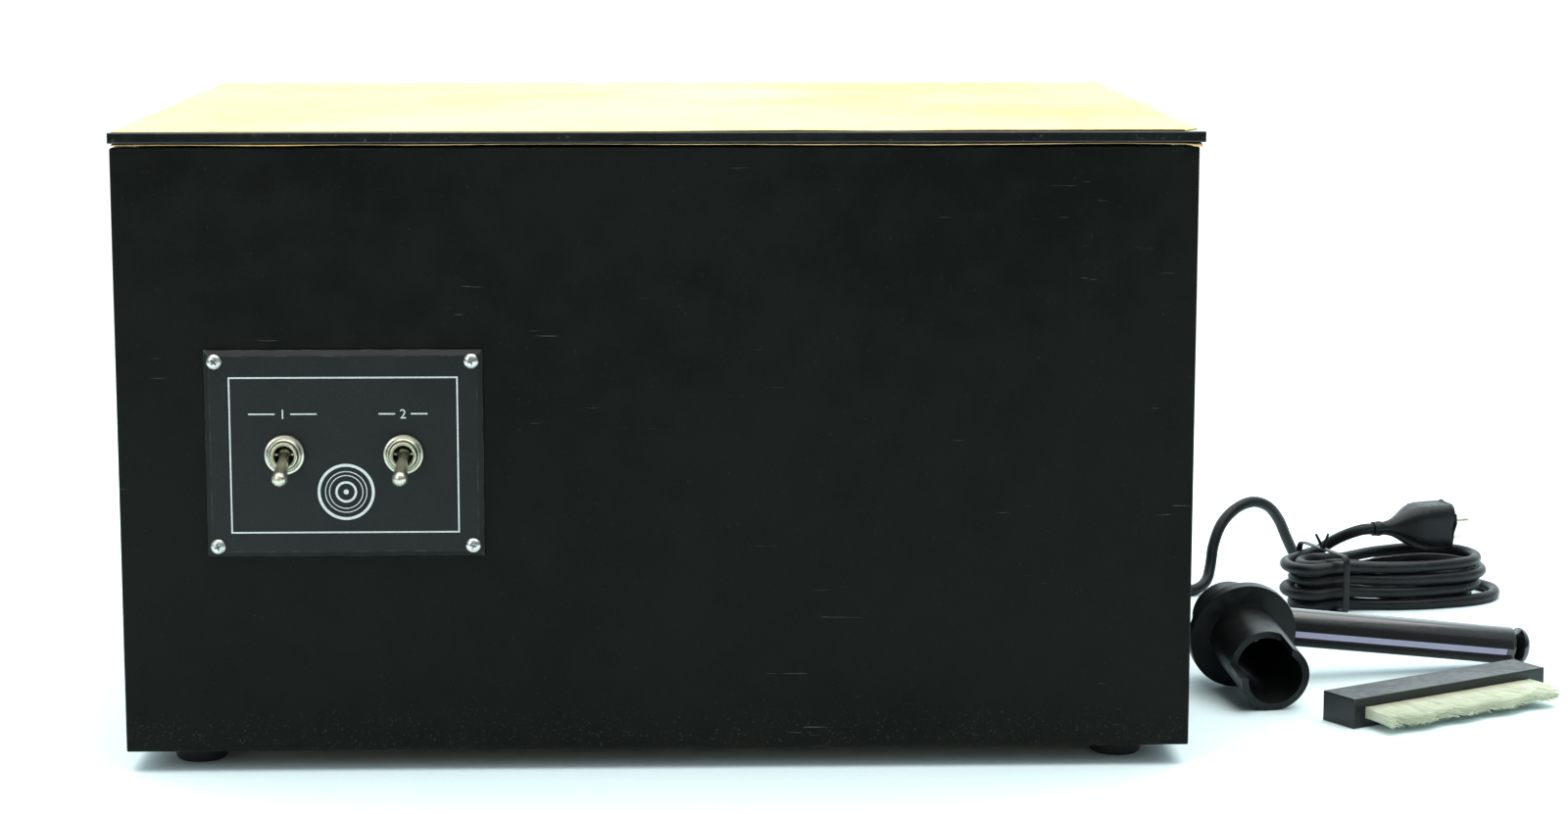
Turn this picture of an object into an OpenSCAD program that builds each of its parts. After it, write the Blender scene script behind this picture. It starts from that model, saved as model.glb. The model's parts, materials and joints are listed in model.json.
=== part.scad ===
// Record cleaning machine: a box with a flat hinged lid, a turntable that a geared motor drives,
// a vacuum and a waste tank, with its suction tube, brush and mains cord lying beside it.
// The origin is the centre of the cabinet's footprint on the table. +X is right, +Y is the back.

/* [Cabinet] */
// Width of the cabinet
cab_w = 470; // [450:1:520]
// Depth of the cabinet
cab_d = 368; // [350:1:420]
// Height of the cabinet without its feet
cab_h = 266.5; // [255:0.5:300]
// Thickness of the side, front and back boards
wall_t = 16; // [12:0.5:19]
// Thickness of the bottom board
bottom_t = 12; // [9:0.5:16]
// Radius of the cabinet's outer edges
cab_round = 1.2; // [0.5:0.1:3]

/* [Feet] */
// Height of a rubber foot
foot_h = 9.5; // [6:0.5:14]
// Diameter of a foot where it meets the cabinet
foot_dia = 25; // [20:0.5:30]
// Distance from the cabinet's faces to a foot's centre
foot_inset = 29; // [26:0.5:45]

/* [Deck] */
// Depth of the deck's top below the cabinet's rim
deck_drop = 62; // [56:0.5:70]
// Thickness of the deck
deck_t = 12; // [9:0.5:16]
// Gap round the deck
deck_gap = 0.4; // [0.2:0.1:1]
// Width and height of the cleats under the deck
cleat_w = 12; // [9:0.5:16]

/* [Lid] */
// Thickness of the acrylic lid
lid_t = 4.8; // [4:0.1:6.5]
// Gap between the cabinet's rim and the acrylic
lid_gap = 1.8; // [1.6:0.1:2.6]
// Overhang of the lid at the left
lid_left = 0.6; // [0:0.1:4]
// Overhang of the lid at the right
lid_right = 2.5; // [0:0.1:4]
// Overhang of the lid at the front
lid_front = 1; // [0:0.1:4]
// Thickness of the masking paper on either side of the lid
paper_t = 0.3; // [0.2:0.05:0.5]
// Margin between the edge of the top paper and the edge of the lid
paper_margin = 1.6; // [0.5:0.1:4]
// Diameter of a lid bumper
bumper_dia = 8; // [6:0.5:12]

/* [Hinges] */
// Length of a hinge
hinge_len = 60; // [40:1:90]
// Distance from the middle of the lid to the middle of a hinge
hinge_x = 160; // [120:1:190]
// Thickness of a hinge leaf
leaf_t = 1.2; // [1:0.05:1.4]
// Depth of the leaf under the lid
leaf_lid = 30; // [20:1:45]
// Depth of the leaf on the back board
leaf_case = 26; // [18:1:45]
// Outer radius of a knuckle
knuckle_r = 2.6; // [2.3:0.1:3.2]
// Radius of a hinge pin
pin_r = 1.25; // [1:0.05:1.5]
// Running clearance of a pin in the lid's knuckles
pin_gap = 0.06; // [0.03:0.01:0.1]
// Number of knuckles on a hinge, odd
knuckles = 5; // [3:2:7]
// Gap between knuckles
knuckle_gap = 0.4; // [0.2:0.1:0.8]

/* [Control panel] */
// Width of the control panel
panel_w = 120.5; // [112:0.5:140]
// Height of the control panel
panel_h = 91; // [80:0.5:110]
// Thickness of the control panel
panel_t = 3; // [2:0.1:4]
// Width of the bevel round its face
panel_bevel = 2.4; // [1:0.1:4]
// Distance of its middle from the cabinet's left face
panel_x = 98.5; // [90:0.5:140]
// Height of its middle above the bottom board's underside
panel_z = 133.5; // [100:0.5:190]
// Distance from its edges to a screw's centre
panel_screw_inset = 4.8; // [4.5:0.1:9]
// Distance between the two switches
switch_pitch = 51.5; // [45:0.5:60]
// Depth of the switches' centre below the middle of the panel
switch_drop = 0; // [-10:0.5:10]

/* [Switches] */
// Radius of a switch's threaded bushing
bushing_r = 6; // [5:0.1:7]
// Length of a bushing in front of the panel
bushing_out = 5; // [3:0.5:8]
// Radius of the opening in a bushing
bushing_bore = 4.9; // [4.5:0.1:5.2]
// Outer radius of a knurled nut
nut_r = 8.85; // [7.5:0.1:11]
// Thickness of a knurled nut
nut_t = 4; // [2.5:0.1:5]
// Length of a lever from its pivot to the middle of its tip
lever_len = 23; // [18:0.5:30]
// Radius of a lever's tip
lever_tip_r = 3.5; // [3:0.1:4.5]
// Radius of a lever's neck
lever_neck_r = 2; // [1.5:0.1:2.6]
// Angle of a lever below its middle place when it is off
lever_angle = 18; // [10:0.5:20]
// Width, height and depth of a switch's body
switch_box = [17, 29, 20]; // [10:0.5:40]

/* [Turntable] */
// Gap between the platter and the left board
platter_side = 9; // [7:0.5:20]
// Radius of the platter
platter_r = 150; // [130:0.5:151]
// Thickness of the platter
platter_t = 14; // [10:0.5:18]
// Height of the platter above the deck
platter_lift = 8; // [6:0.5:10]
// Thickness of the platter's mat
mat_t = 3; // [2:0.5:5]
// Radius of the drive shaft
shaft_r = 5; // [4:0.1:6]
// Radius of the pin that a record goes on
spindle_r = 3.6; // [3.5:0.05:3.65]
// Running clearance of the shafts
shaft_gap = 0.05; // [0.03:0.01:0.1]
// Radius of the shaft's flange under the platter
hub_r = 30; // [20:1:45]
// Outer radius of the bearing in the deck
bush_r = 12; // [9:0.5:16]
// Radius of the record clamp
clamp_r = 38; // [30:0.5:48]
// Height of the record clamp
clamp_h = 24; // [18:0.5:28]

/* [Gears] */
// Module of the gears
gear_m = 1.25; // [1.1:0.05:1.35]
// Teeth of the gear on the drive shaft
shaft_teeth = 50; // [44:1:56]
// Teeth of the pinions
pinion_teeth = 12; // [12:1:14]
// Teeth of the idler's large gear
idler_teeth = 48; // [44:1:52]
// Width of a gear
gear_w = 8; // [6:0.5:9]
// Thinning of each tooth for backlash
backlash = 0.2; // [0.12:0.01:0.3]
// Radius of the idler's fixed shaft
idler_r = 3; // [2.5:0.1:4]
// Radius of the motor's shaft
motor_shaft_r = 2.5; // [2:0.1:3]
// Thickness of the gear plates
plate_t = 3; // [2:0.5:4]
// Radius of the motor's body
motor_r = 28; // [24:0.5:32]
// Height of the motor's body
motor_h = 43; // [40:1:50]
// Wall of the motor's body
motor_wall = 3; // [2:0.5:5]
// Radius of the motor's rotor
rotor_r = 20; // [12:0.5:21]
// Height of the motor's rotor
rotor_h = 22; // [14:0.5:26]

/* [Suction socket and tank] */
// Distance of the socket to the right of the spindle
socket_reach = 190; // [185:0.5:205]
// Distance of the socket behind the middle
socket_y = 40; // [20:0.5:60]
// Radius of the suction tube's pipe
pipe_r = 16.7; // [14:0.1:17.5]
// Clearance between the pipe and its socket
pipe_gap = 0.25; // [0.15:0.05:0.5]
// Outer radius of the socket
socket_r = 20; // [19:0.5:22]
// Depth of the socket below the deck's top
socket_h = 50; // [40:1:60]
// Wall of the rubber hoses
hose_wall = 3; // [2:0.5:4]
// Width, depth and height of the waste tank
tank_size = [120, 130, 90]; // [70:1:140]
// Wall of the waste tank
tank_wall = 3; // [2:0.5:4]
// Gap between the tank and the right board, where the wires run
tank_side = 9; // [8:0.5:14]
// Gap between the tank and the terminal block behind it
tank_back = 18; // [8:0.5:20]
// Radius of the drain spout
drain_r = 6; // [5:0.5:8]
// Length of the drain spout behind the cabinet
drain_out = 16; // [12:0.5:24]

/* [Vacuum] */
// Gap between the fan housing and the left board
vac_side = 19; // [12:0.5:24]
// Gap between the fan housing and the back board
vac_back = 8; // [5:0.5:11]
// Outer radius of the fan housing
fan_r = 60; // [52:0.5:62]
// Height of the fan housing
fan_h = 43; // [34:1:48]
// Wall of the fan housing
fan_wall = 3; // [2:0.5:4]
// Radius of the vacuum's motor
vac_motor_r = 42; // [36:1:50]
// Height of the vacuum's motor
vac_motor_h = 75; // [60:1:80]
// Radius of the fan
impeller_r = 50; // [40:1:52]
// Radius of the hose's bore
duct_r = 14; // [10:0.5:16]

/* [Suction tube] */
// Place of the middle of the tube's flange on the table
wand_at = [283, -38]; // [-400:0.1:400]
// Turn of the tube on the table
wand_turn = 9.4; // [0:0.1:15]
// Wall of the pipe
pipe_wall = 3.4; // [2.5:0.1:4.5]
// Length of the pipe in front of its flange
pipe_len = 51; // [40:0.5:70]
// Length of the pipe's head behind the flange
head_len = 27; // [26:0.5:50]
// Radius of the flange
flange_r = 26.7; // [22:0.1:32]
// Thickness of the flange
flange_t = 5; // [3:0.5:8]
// Depth of the step cut in the pipe's end
notch_len = 17; // [8:0.5:25]
// Outer radius of the arm
arm_r = 9.5; // [8:0.1:11]
// Wall of the arm
arm_wall = 1.6; // [1.2:0.1:2.5]
// Length of the arm from the pipe's axis
arm_len = 157; // [130:0.5:190]
// Distance of the arm's axis behind the flange
arm_back = 15; // [14:0.5:20]
// Width of the slot
slot_w = 3.4; // [2:0.1:5]
// Width of a velvet lip
lip_w = 5; // [3:0.1:6]
// Thickness of a velvet lip
lip_t = 1.2; // [0.8:0.1:2]

/* [Brush] */
// Length of the brush's block
brush_len = 122; // [100:1:150]
// Depth of the block
brush_w = 21.6; // [14:0.1:26]
// Height of the block
brush_h = 14.3; // [12:0.1:20]
// Place of the block's left front corner
brush_at = [321.8, -121.4]; // [-400:0.1:400]
// Turn of the brush on the table
brush_turn = 30.6; // [0:0.1:60]
// Length of the bristles
bristle_len = 20; // [12:0.5:30]
// Height of the bristle field at its root
bristle_h = 5.3; // [4:0.1:10]
// Bare stretch of the block to the left of the bristle field
bristle_left = 7; // [3:0.5:15]
// Bare stretch of the block to the right of the bristle field
bristle_right = 10; // [1:0.5:15]
// Columns of bristles
bristle_cols = 52; // [40:1:60]
// Rows of bristles
bristle_rows = 7; // [6:1:8]
// Spread of the tips beyond the field at either end
bristle_flare = 1.5; // [0:0.5:6]

/* [Mains cord] */
// Diameter of the cord
cord_d = 6.2; // [5.5:0.1:6.8]
// Half of the length of the hank's runs
hank_run = 30; // [26:1:34]
// Radius of the hank's innermost fold
hank_in = 18.6; // [18:0.2:21]
// Step from one loop to the next
hank_step = 7.4; // [7.2:0.1:8.2]
// Height of a layer
hank_layer = 6.8; // [6.7:0.1:7.4]
// Depth by which the tie draws the runs in
hank_draw = 12; // [6:0.5:12]
// Loops counted from the first mid run to the end
hank_turns = 5.85; // [5.8:0.05:5.9]
// Width of the tie
tie_w = 4; // [3:0.5:6]
// Thickness of the tie
tie_t = 1; // [0.8:0.1:1.4]
// Height of the strain relief above the table
relief_z = 60; // [50:0.5:75]
// Distance of the strain relief from the cabinet's right face
relief_side = 35; // [27:0.5:45]
// Length of the strain relief
relief_len = 30; // [24:0.5:40]
// Width of the plug
plug_w = 25; // [20:0.5:28]
// Length of the plug's body
plug_len = 36; // [30:0.5:46]

/* [Hidden] */
$fn = 48;

// Small allowance by which a cutting shape runs past the face that it cuts
past = 1;
// Heights of the cabinet, deck and lid
base_z = foot_h;
floor_z = base_z + bottom_t;
rim_z = base_z + cab_h;
deck_top = rim_z - deck_drop;
deck_under = deck_top - deck_t;
lid_z = rim_z + lid_gap;
in_w = cab_w - 2 * wall_t;
in_d = cab_d - 2 * wall_t;
lid_w = cab_w + lid_left + lid_right;
lid_d = cab_d + lid_front;
lid_mid = (lid_right - lid_left) / 2;
// Width and depth of the corner torn off the top paper
torn = [8, 14];
// Hinge axis, level with the middle of the leaf that lies under the lid
leaf_clear = 0.5;
pin_head_t = 1;
hinge_y = cab_d / 2 + knuckle_r + 0.2;
hinge_z = lid_z - leaf_t / 2;
knuckle_len = (hinge_len - (knuckles - 1) * knuckle_gap) / knuckles;
// Screws
screw_head_r = 3.2;
screw_head_h = 2;
screw_r = 1.6;
screw_gap = 0.1;
screw_len = 9;
leaf_screw_r = 1.2;
leaf_screw_depth = 3.2;
recess_w = 0.9;
// Control panel
panel_mid = -cab_w / 2 + panel_x;
panel_face = -cab_d / 2 - panel_t;
switch_z = base_z + panel_z - switch_drop;
panel_mid_z = base_z + panel_z;
motor_switch_x = panel_mid - switch_pitch / 2;
vacuum_switch_x = panel_mid + switch_pitch / 2;
switch_gap = 0.3;
lever_pin_r = 0.8;
lever_pin_gap = 0.05;
bushing_depth = 5;
// Turntable
spindle_left = in_w / 2 - platter_side - platter_r;
platter_z = deck_top + platter_lift;
mat_z = platter_z + platter_t;
clamp_z = mat_z + mat_t;
hub_t = 4;
bush_flange_t = 3;
record_fit = 0.08;
// Gear train, from the drive shaft to the idler and on to the motor
train_a = gear_m * (shaft_teeth + pinion_teeth) / 2;
train_b = gear_m * (idler_teeth + pinion_teeth) / 2;
motor_bearing = -30;
idler_at = [-spindle_left, train_a];
motor_at = idler_at + train_b * [cos(motor_bearing), sin(motor_bearing)];
top_plate_z = deck_under - 12;
gear_space = 28;
low_plate_z = top_plate_z - gear_space - plate_t;
idler_z = low_plate_z + plate_t + 4;
gear_rise = 3;
shaft_gear_z = idler_z + gear_w + gear_rise;
post_r = 5;
// Motor
motor_cap = 7;
rotor_z = low_plate_z - motor_cap - 5 - rotor_h;
// Wiring
block_size = [14, 16, 12];
block_y = in_d / 2 - 20;
block_holes = [5, 12];
wire_r = 1.8;
relief_x = cab_w / 2 - relief_side;
// Tank and hoses: the socket stands off the tank's middle, so that the vacuum's hose has room
socket_x = socket_reach - spindle_left;
socket_off = 20;
tank_mid = [min(socket_x + socket_off, in_w / 2 - tank_side - tank_size[0] / 2),
    block_y - tank_back - tank_size[1] / 2];
tank_top = floor_z + tank_size[2];
tank_lid_t = 4;
spigot_h = 10;
hose_r = duct_r + hose_wall;
hose_z = deck_under - hose_r - 7;
hose_bend = hose_r + 7;
hose_x = tank_mid[0];
drain_x = tank_mid[0];
drain_z = floor_z + tank_wall + drain_r + 4;
// Vacuum
vac_left = in_w / 2 - vac_side - fan_r;
vac_y = in_d / 2 - vac_back - fan_r;
vac_base = floor_z + 9;
fan_z = vac_base + vac_motor_h;
fan_top = fan_z + fan_h;
fan_shaft_r = 4;
fan_shaft_below = 18;
fan_bore_below = 20;
fan_lift = 3;
fan_disc_t = 2;
fan_hub_r = 9;
fan_hub_h = 14;
fan_blades = 8;
blade_t = 2;
blade_h = 14;
blade_from = 7;
blade_margin = 3;
vent_z = fan_z + fan_h / 2;
vent_r = 17;
// Suction tube: it lies on the rim of its flange and the rim of its end, and on its arm's tip
wand_tilt = atan((flange_r - pipe_r) / (pipe_len - flange_t / 2));
wand_z = flange_r * cos(wand_tilt) + flange_t / 2 * sin(wand_tilt);
arm_rise = wand_z + arm_back * sin(wand_tilt) - arm_r;
arm_dip = asin(arm_rise / arm_len);
arm_roll = asin(sin(arm_dip) / cos(wand_tilt));
cap_len = 9;
cap_round = 4;
notch_side = 7;
slot_from = 30;
slot_to = arm_len - cap_len - 4;
// Cord
cord_r = cord_d / 2;
hank_mid = [394, 160];
hank_turned = 20;
hank_reach = 10;
hank_from = 0.1;
hank_climb = 0.1;
draw_x = -30;
draw_w = 26;
tie_x = -38;
tie_lift = 1.4;
tie_lift_w = 12;
tie_room = 2.5;
neck_at = [389, 166];
plug_turn = 17;
// The cord's route from its strain relief to the hank, and from the hank to the plug
lead_route = [[200, 214, 60], [200, 221, 60], [200.5, 232, 57], [203, 242, 48], [207, 248, 36],
    [212, 251, 24], [219, 252, 13], [228, 250, 5.5], [239, 244, 3.1], [250, 232, 3.1],
    [258, 217, 3.1], [263, 200, 3.1], [267, 187, 3.1], [274, 179, 3.1], [284, 176.5, 3.1],
    [294, 179, 3.3], [301, 185, 7], [304, 190, 15], [306, 194, 25], [311, 199, 36],
    [320, 206, 43.5], [331, 214, 46], [341, 221, 42], [348.5, 228, 33], [354, 234, 22],
    [360, 240, 11], [366, 241.5, 4.5], [373, 238, 3.1], [379, 229, 3.1], [384, 217, 3.1],
    [390, 206, 3.1], [398, 198, 3.1]];
tail_route = [[361, 173, 26.4], [366, 173.5, 29.6], [371, 170.5, 33.4], [376.5, 166, 37]];
lead_steps = 2;
lead_sides = 8;
hank_rings = 24;
hank_sides = 6;

function unit(v) = v / norm(v);
// Points of a circle's arc
function arc(r, from, to, steps) =
    [for (i = [0:steps]) r * [cos(from + (to - from) * i / steps), sin(from + (to - from) * i / steps)]];
function smooth(s) = s <= 0 ? 0 : s >= 1 ? 1 : s * s * (3 - 2 * s);
function bell(s) = exp(-s * s);

// Sweep of a round tube along a path, as one closed mesh

function along(p0, p1, p2, p3, s) =
    (2 * p1 + (p2 - p0) * s + (2 * p0 - 5 * p1 + 4 * p2 - p3) * s * s
    + (3 * p1 - p0 - 3 * p2 + p3) * s * s * s) / 2;
function curve_through(p, steps) = let (n = len(p) - 1) concat(
    [for (i = [0:n - 1], k = [0:steps - 1])
        along(p[max(i - 1, 0)], p[i], p[i + 1], p[min(i + 2, n)], k / steps)],
    [p[n]]);
function heading(p, i) = unit(p[min(i + 1, len(p) - 1)] - p[max(i - 1, 0)]);
function square_to(u, t) = unit(u - (u * t) * t);
function first_side(t) = square_to(abs(t[2]) < 0.9 ? [0, 0, 1] : [1, 0, 0], t);
function ring_points(p, t, u, r, sides) = let (v = cross(t, u))
    [for (k = [0:sides - 1]) p + r * (cos(360 * k / sides) * u + sin(360 * k / sides) * v)];
function sides_along(p) = [for (i = 0, u = first_side(heading(p, 0)); i < len(p);
    i = i + 1, u = i < len(p) ? square_to(u, heading(p, i)) : u) u];

module tube(path, r, sides) {
    us = sides_along(path);
    n = len(path);
    points = [for (i = [0:n - 1]) each ring_points(path[i], heading(path, i), us[i], r, sides)];
    walls = [for (i = [0:n - 2], k = [0:sides - 1])
        let (a = i * sides + k, b = i * sides + (k + 1) % sides)
        each [[a, a + sides, b + sides], [a, b + sides, b]]];
    near_end = [for (k = [1:sides - 2]) [0, k, k + 1]];
    last = (n - 1) * sides;
    far_end = [for (k = [1:sides - 2]) [last, last + k + 1, last + k]];
    polyhedron(points, concat(walls, near_end, far_end));
}

// Small shared shapes

module at_each(places) {
    for (p = places) translate(p) children();
}

// Box with its twelve edges rounded by short flat steps
module rounded_box(size, r) {
    intersection_for (way = [0:2]) {
        s = way == 0 ? [size[0], size[1], size[2]] : way == 1 ? [size[1], size[2], size[0]]
            : [size[2], size[0], size[1]];
        rotate(way == 0 ? [0, 0, 0] : way == 1 ? [90, 0, 90] : [0, -90, -90])
            linear_extrude(s[2], center = true) rounded_outline([s[0], s[1]], r);
    }
}

module rounded_outline(size, r) {
    steps = 3;
    corner = [[size[0] / 2 - r, size[1] / 2 - r], [r - size[0] / 2, size[1] / 2 - r],
        [r - size[0] / 2, r - size[1] / 2], [size[0] / 2 - r, r - size[1] / 2]];
    polygon([for (q = [0:3]) each [for (p = arc(r, 90 * q, 90 * q + 90, steps)) corner[q] + p]]);
}

module ring(r_out, r_in, h) {
    difference() {
        cylinder(h = h, r = r_out);
        translate([0, 0, -past]) cylinder(h = h + 2 * past, r = r_in);
    }
}

// Pan-head screw with a cross recess: its head's underside is at the origin, its shank runs down
module screw(head_r, head_h, shank_r, shank_len) {
    difference() {
        union() {
            cylinder(h = head_h, r1 = head_r, r2 = head_r * 0.72);
            translate([0, 0, -shank_len]) cylinder(h = shank_len + head_h / 2, r = shank_r);
        }
        translate([0, 0, head_h]) {
            cube([head_r, recess_w, head_h], center = true);
            cube([recess_w, head_r, head_h], center = true);
        }
    }
}

// Places that more than one piece uses

foot_places = [for (x = [-1, 1], y = [-1, 1])
    [x * (cab_w / 2 - foot_inset), y * (cab_d / 2 - foot_inset), 0]];
deck_screw_places = [for (x = [-1, 1], y = [-1, 0, 1])
    [x * (in_w / 2 - cleat_w / 2 - 1), y * (in_d / 2 - 20), deck_top]];
panel_screw_places = [for (x = [-1, 1], z = [-1, 1])
    [panel_mid + x * (panel_w / 2 - panel_screw_inset), panel_face,
        panel_mid_z + z * (panel_h / 2 - panel_screw_inset)]];
hinge_places = [for (x = [-1, 1]) [lid_mid + x * hinge_x, 0, 0]];
leaf_screw_x = [-hinge_len / 3, hinge_len / 3];
case_screw_places = [for (h = hinge_places, x = leaf_screw_x)
    [h[0] + x, cab_d / 2 + leaf_t, hinge_z - leaf_case * 0.6]];
lid_screw_places = [for (h = hinge_places, x = leaf_screw_x)
    [h[0] + x, cab_d / 2 - leaf_lid * 0.6, lid_z - leaf_t]];
switch_places = [[motor_switch_x, panel_face, switch_z], [vacuum_switch_x, panel_face, switch_z]];
bumper_places = [for (x = [-1, 1], y = [-1, 1])
    [x * (cab_w / 2 - wall_t / 2), y * (cab_d / 2 - wall_t / 2) , rim_z]];

// Cabinet

module cabinet_form() {
    translate([0, 0, base_z + cab_h / 2]) rounded_box([cab_w, cab_d, cab_h], cab_round);
}

// One board: the part of the cabinet's outer form that a box takes in
module board(low, high) {
    intersection() {
        cabinet_form();
        translate(low) cube(high - low);
    }
}

module front_board() {
    color([0.1, 0.1, 0.095]) difference() {
        board([-cab_w / 2 - past, -cab_d / 2 - past, base_z - past],
            [cab_w / 2 + past, wall_t - cab_d / 2, rim_z + past]);
        for (p = switch_places)
            translate([p[0] - switch_box[0] / 2 - 1, -cab_d / 2 - past, switch_z - switch_box[1] / 2 - 1])
                cube([switch_box[0] + 2, wall_t + 2 * past, switch_box[1] + 2]);
        at_each(panel_screw_places) rotate([90, 0, 0])
            translate([0, 0, -panel_t - screw_len])
                cylinder(h = panel_t + screw_len, r = screw_r + screw_gap);
    }
}

module back_board() {
    color([0.1, 0.1, 0.095]) difference() {
        board([-cab_w / 2 - past, cab_d / 2 - wall_t, base_z - past],
            [cab_w / 2 + past, cab_d / 2 + past, rim_z + past]);
        translate([-vac_left, cab_d / 2 - wall_t - past, vent_z]) rotate([-90, 0, 0])
            cylinder(h = wall_t + 2 * past, r = vent_r + 0.5);
        translate([drain_x, cab_d / 2 - wall_t - past, drain_z]) rotate([-90, 0, 0])
            cylinder(h = wall_t + 2 * past, r = drain_r + 0.5);
        translate([relief_x, cab_d / 2 - wall_t - past, relief_z]) rotate([-90, 0, 0])
            cylinder(h = wall_t + 2 * past, r = cord_d + 0.2);
        at_each(case_screw_places) rotate([-90, 0, 0]) translate([0, 0, -leaf_t - screw_len])
            cylinder(h = leaf_t + screw_len, r = leaf_screw_r + screw_gap);
    }
}

module side_board(side) {
    color([0.1, 0.1, 0.095]) difference() {
        board([side < 0 ? -cab_w / 2 - past : cab_w / 2 - wall_t, wall_t - cab_d / 2, base_z - past],
            [side < 0 ? wall_t - cab_w / 2 : cab_w / 2 + past, cab_d / 2 - wall_t, rim_z + past]);
    }
}

module bottom_board() {
    color([0.45, 0.36, 0.26]) difference() {
        translate([-in_w / 2, -in_d / 2, base_z]) cube([in_w, in_d, bottom_t]);
        at_each(foot_places) cylinder(h = base_z + screw_len, r = screw_r + screw_gap);
    }
}

module deck_cleats() {
    color([0.7, 0.55, 0.36]) for (side = [-1, 1]) difference() {
        translate([side < 0 ? -in_w / 2 : in_w / 2 - cleat_w, -in_d / 2, deck_under - cleat_w])
            cube([cleat_w, in_d, cleat_w]);
        at_each(deck_screw_places) translate([0, 0, -deck_t - screw_len])
            cylinder(h = screw_len + past, r = screw_r + screw_gap);
    }
}

module deck() {
    color([0.12, 0.12, 0.12]) difference() {
        translate([deck_gap - in_w / 2, deck_gap - in_d / 2, deck_under])
            cube([in_w - 2 * deck_gap, in_d - 2 * deck_gap, deck_t]);
        translate([-spindle_left, 0, deck_under - past]) cylinder(h = deck_t + 2 * past, r = bush_r);
        translate([socket_x, socket_y, deck_under - past]) cylinder(h = deck_t + 2 * past, r = socket_r);
        at_each(deck_screw_places) translate([0, 0, -deck_t - past])
            cylinder(h = deck_t + 2 * past, r = screw_r + screw_gap);
    }
}

module case_screws() {
    color([0.75, 0.75, 0.73]) {
        at_each(deck_screw_places) screw(screw_head_r, screw_head_h, screw_r, deck_t + screw_len - past);
        at_each(foot_places) translate([0, 0, foot_h - 4]) rotate([180, 0, 0])
            screw(screw_head_r, screw_head_h, screw_r, 4 + screw_len - past);
        at_each(case_screw_places) rotate([-90, 0, 0])
            screw(leaf_screw_r * 2, 1, leaf_screw_r, leaf_t + screw_len - past);
    }
}

module feet() {
    color([0.06, 0.06, 0.06]) at_each(foot_places) difference() {
        rotate_extrude() polygon(concat([[0, 0]],
            [for (p = arc(2, -90, 0, 4)) [foot_dia / 2 - 3, 2] + p],
            [[foot_dia / 2, foot_h], [0, foot_h]]));
        translate([0, 0, -past]) cylinder(h = foot_h + 2 * past, r = screw_r + screw_gap);
        translate([0, 0, -past]) cylinder(h = foot_h - 4 + past, r = screw_head_r + 0.8);
    }
}

module vent_grille() {
    slats = 5;
    color([0.08, 0.08, 0.08]) translate([-vac_left, cab_d / 2, vent_z]) rotate([-90, 0, 0]) difference() {
        cylinder(h = 2, r = vent_r + 7);
        for (i = [0:slats - 1]) translate([0, (i - (slats - 1) / 2) * 6, 0])
            cube([2 * (vent_r - 2) - 6 * abs(i - (slats - 1) / 2), 3, 6], center = true);
    }
}

// Lid and hinges

module lid() {
    color([0.06, 0.06, 0.065]) difference() {
        translate([lid_mid, -lid_front / 2, lid_z + lid_t / 2])
            rounded_box([lid_w, lid_d, lid_t], 0.6);
        at_each(lid_screw_places) cylinder(h = leaf_t + leaf_screw_depth, r = leaf_screw_r + screw_gap);
    }
}

module lid_top_paper() {
    half = [lid_w / 2 - paper_margin, lid_d / 2 - paper_margin];
    color([0.93, 0.9, 0.7]) translate([lid_mid, -lid_front / 2, lid_z + lid_t]) linear_extrude(paper_t)
        polygon([-half, [half[0] - torn[0], -half[1]], [half[0] - torn[0] / 2, torn[1] / 2 - half[1]],
            [half[0], torn[1] - half[1]], half, [-half[0], half[1]]]);
}

// Its back edge stops short of the leaves, which touch the acrylic itself
module lid_under_paper() {
    color([0.8, 0.64, 0.36])
        translate([lid_mid - lid_w / 2 + paper_margin, -cab_d / 2 - lid_front + 0.4, lid_z - paper_t])
            cube([lid_w - 2 * paper_margin, lid_d - 0.4 - leaf_lid - 2, paper_t]);
}

module lid_bumpers() {
    color([0.8, 0.82, 0.84]) at_each(bumper_places)
        cylinder(h = lid_gap - paper_t - 0.1, r = bumper_dia / 2);
}

function knuckle_from(i) = -hinge_len / 2 + i * (knuckle_len + knuckle_gap);

module hinge_lid_leaves() {
    color([0.72, 0.72, 0.7]) for (h = hinge_places) difference() {
        translate([h[0], hinge_y, hinge_z]) union() {
            translate([-hinge_len / 2, -leaf_lid - knuckle_r - 0.2, -leaf_t / 2])
                cube([hinge_len, leaf_lid - leaf_clear, leaf_t]);
            for (i = [1:2:knuckles - 1]) translate([knuckle_from(i), 0, 0]) {
                rotate([0, 90, 0]) cylinder(h = knuckle_len, r = knuckle_r);
                translate([0, -knuckle_r - 1, -leaf_t / 2]) cube([knuckle_len, knuckle_r + 1, leaf_t]);
            }
        }
        translate([h[0] - hinge_len / 2 - past, hinge_y, hinge_z]) rotate([0, 90, 0])
            cylinder(h = hinge_len + 2 * past, r = pin_r + pin_gap);
        at_each(lid_screw_places) translate([0, 0, -past])
            cylinder(h = leaf_t + 2 * past, r = leaf_screw_r + screw_gap);
    }
}

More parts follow.
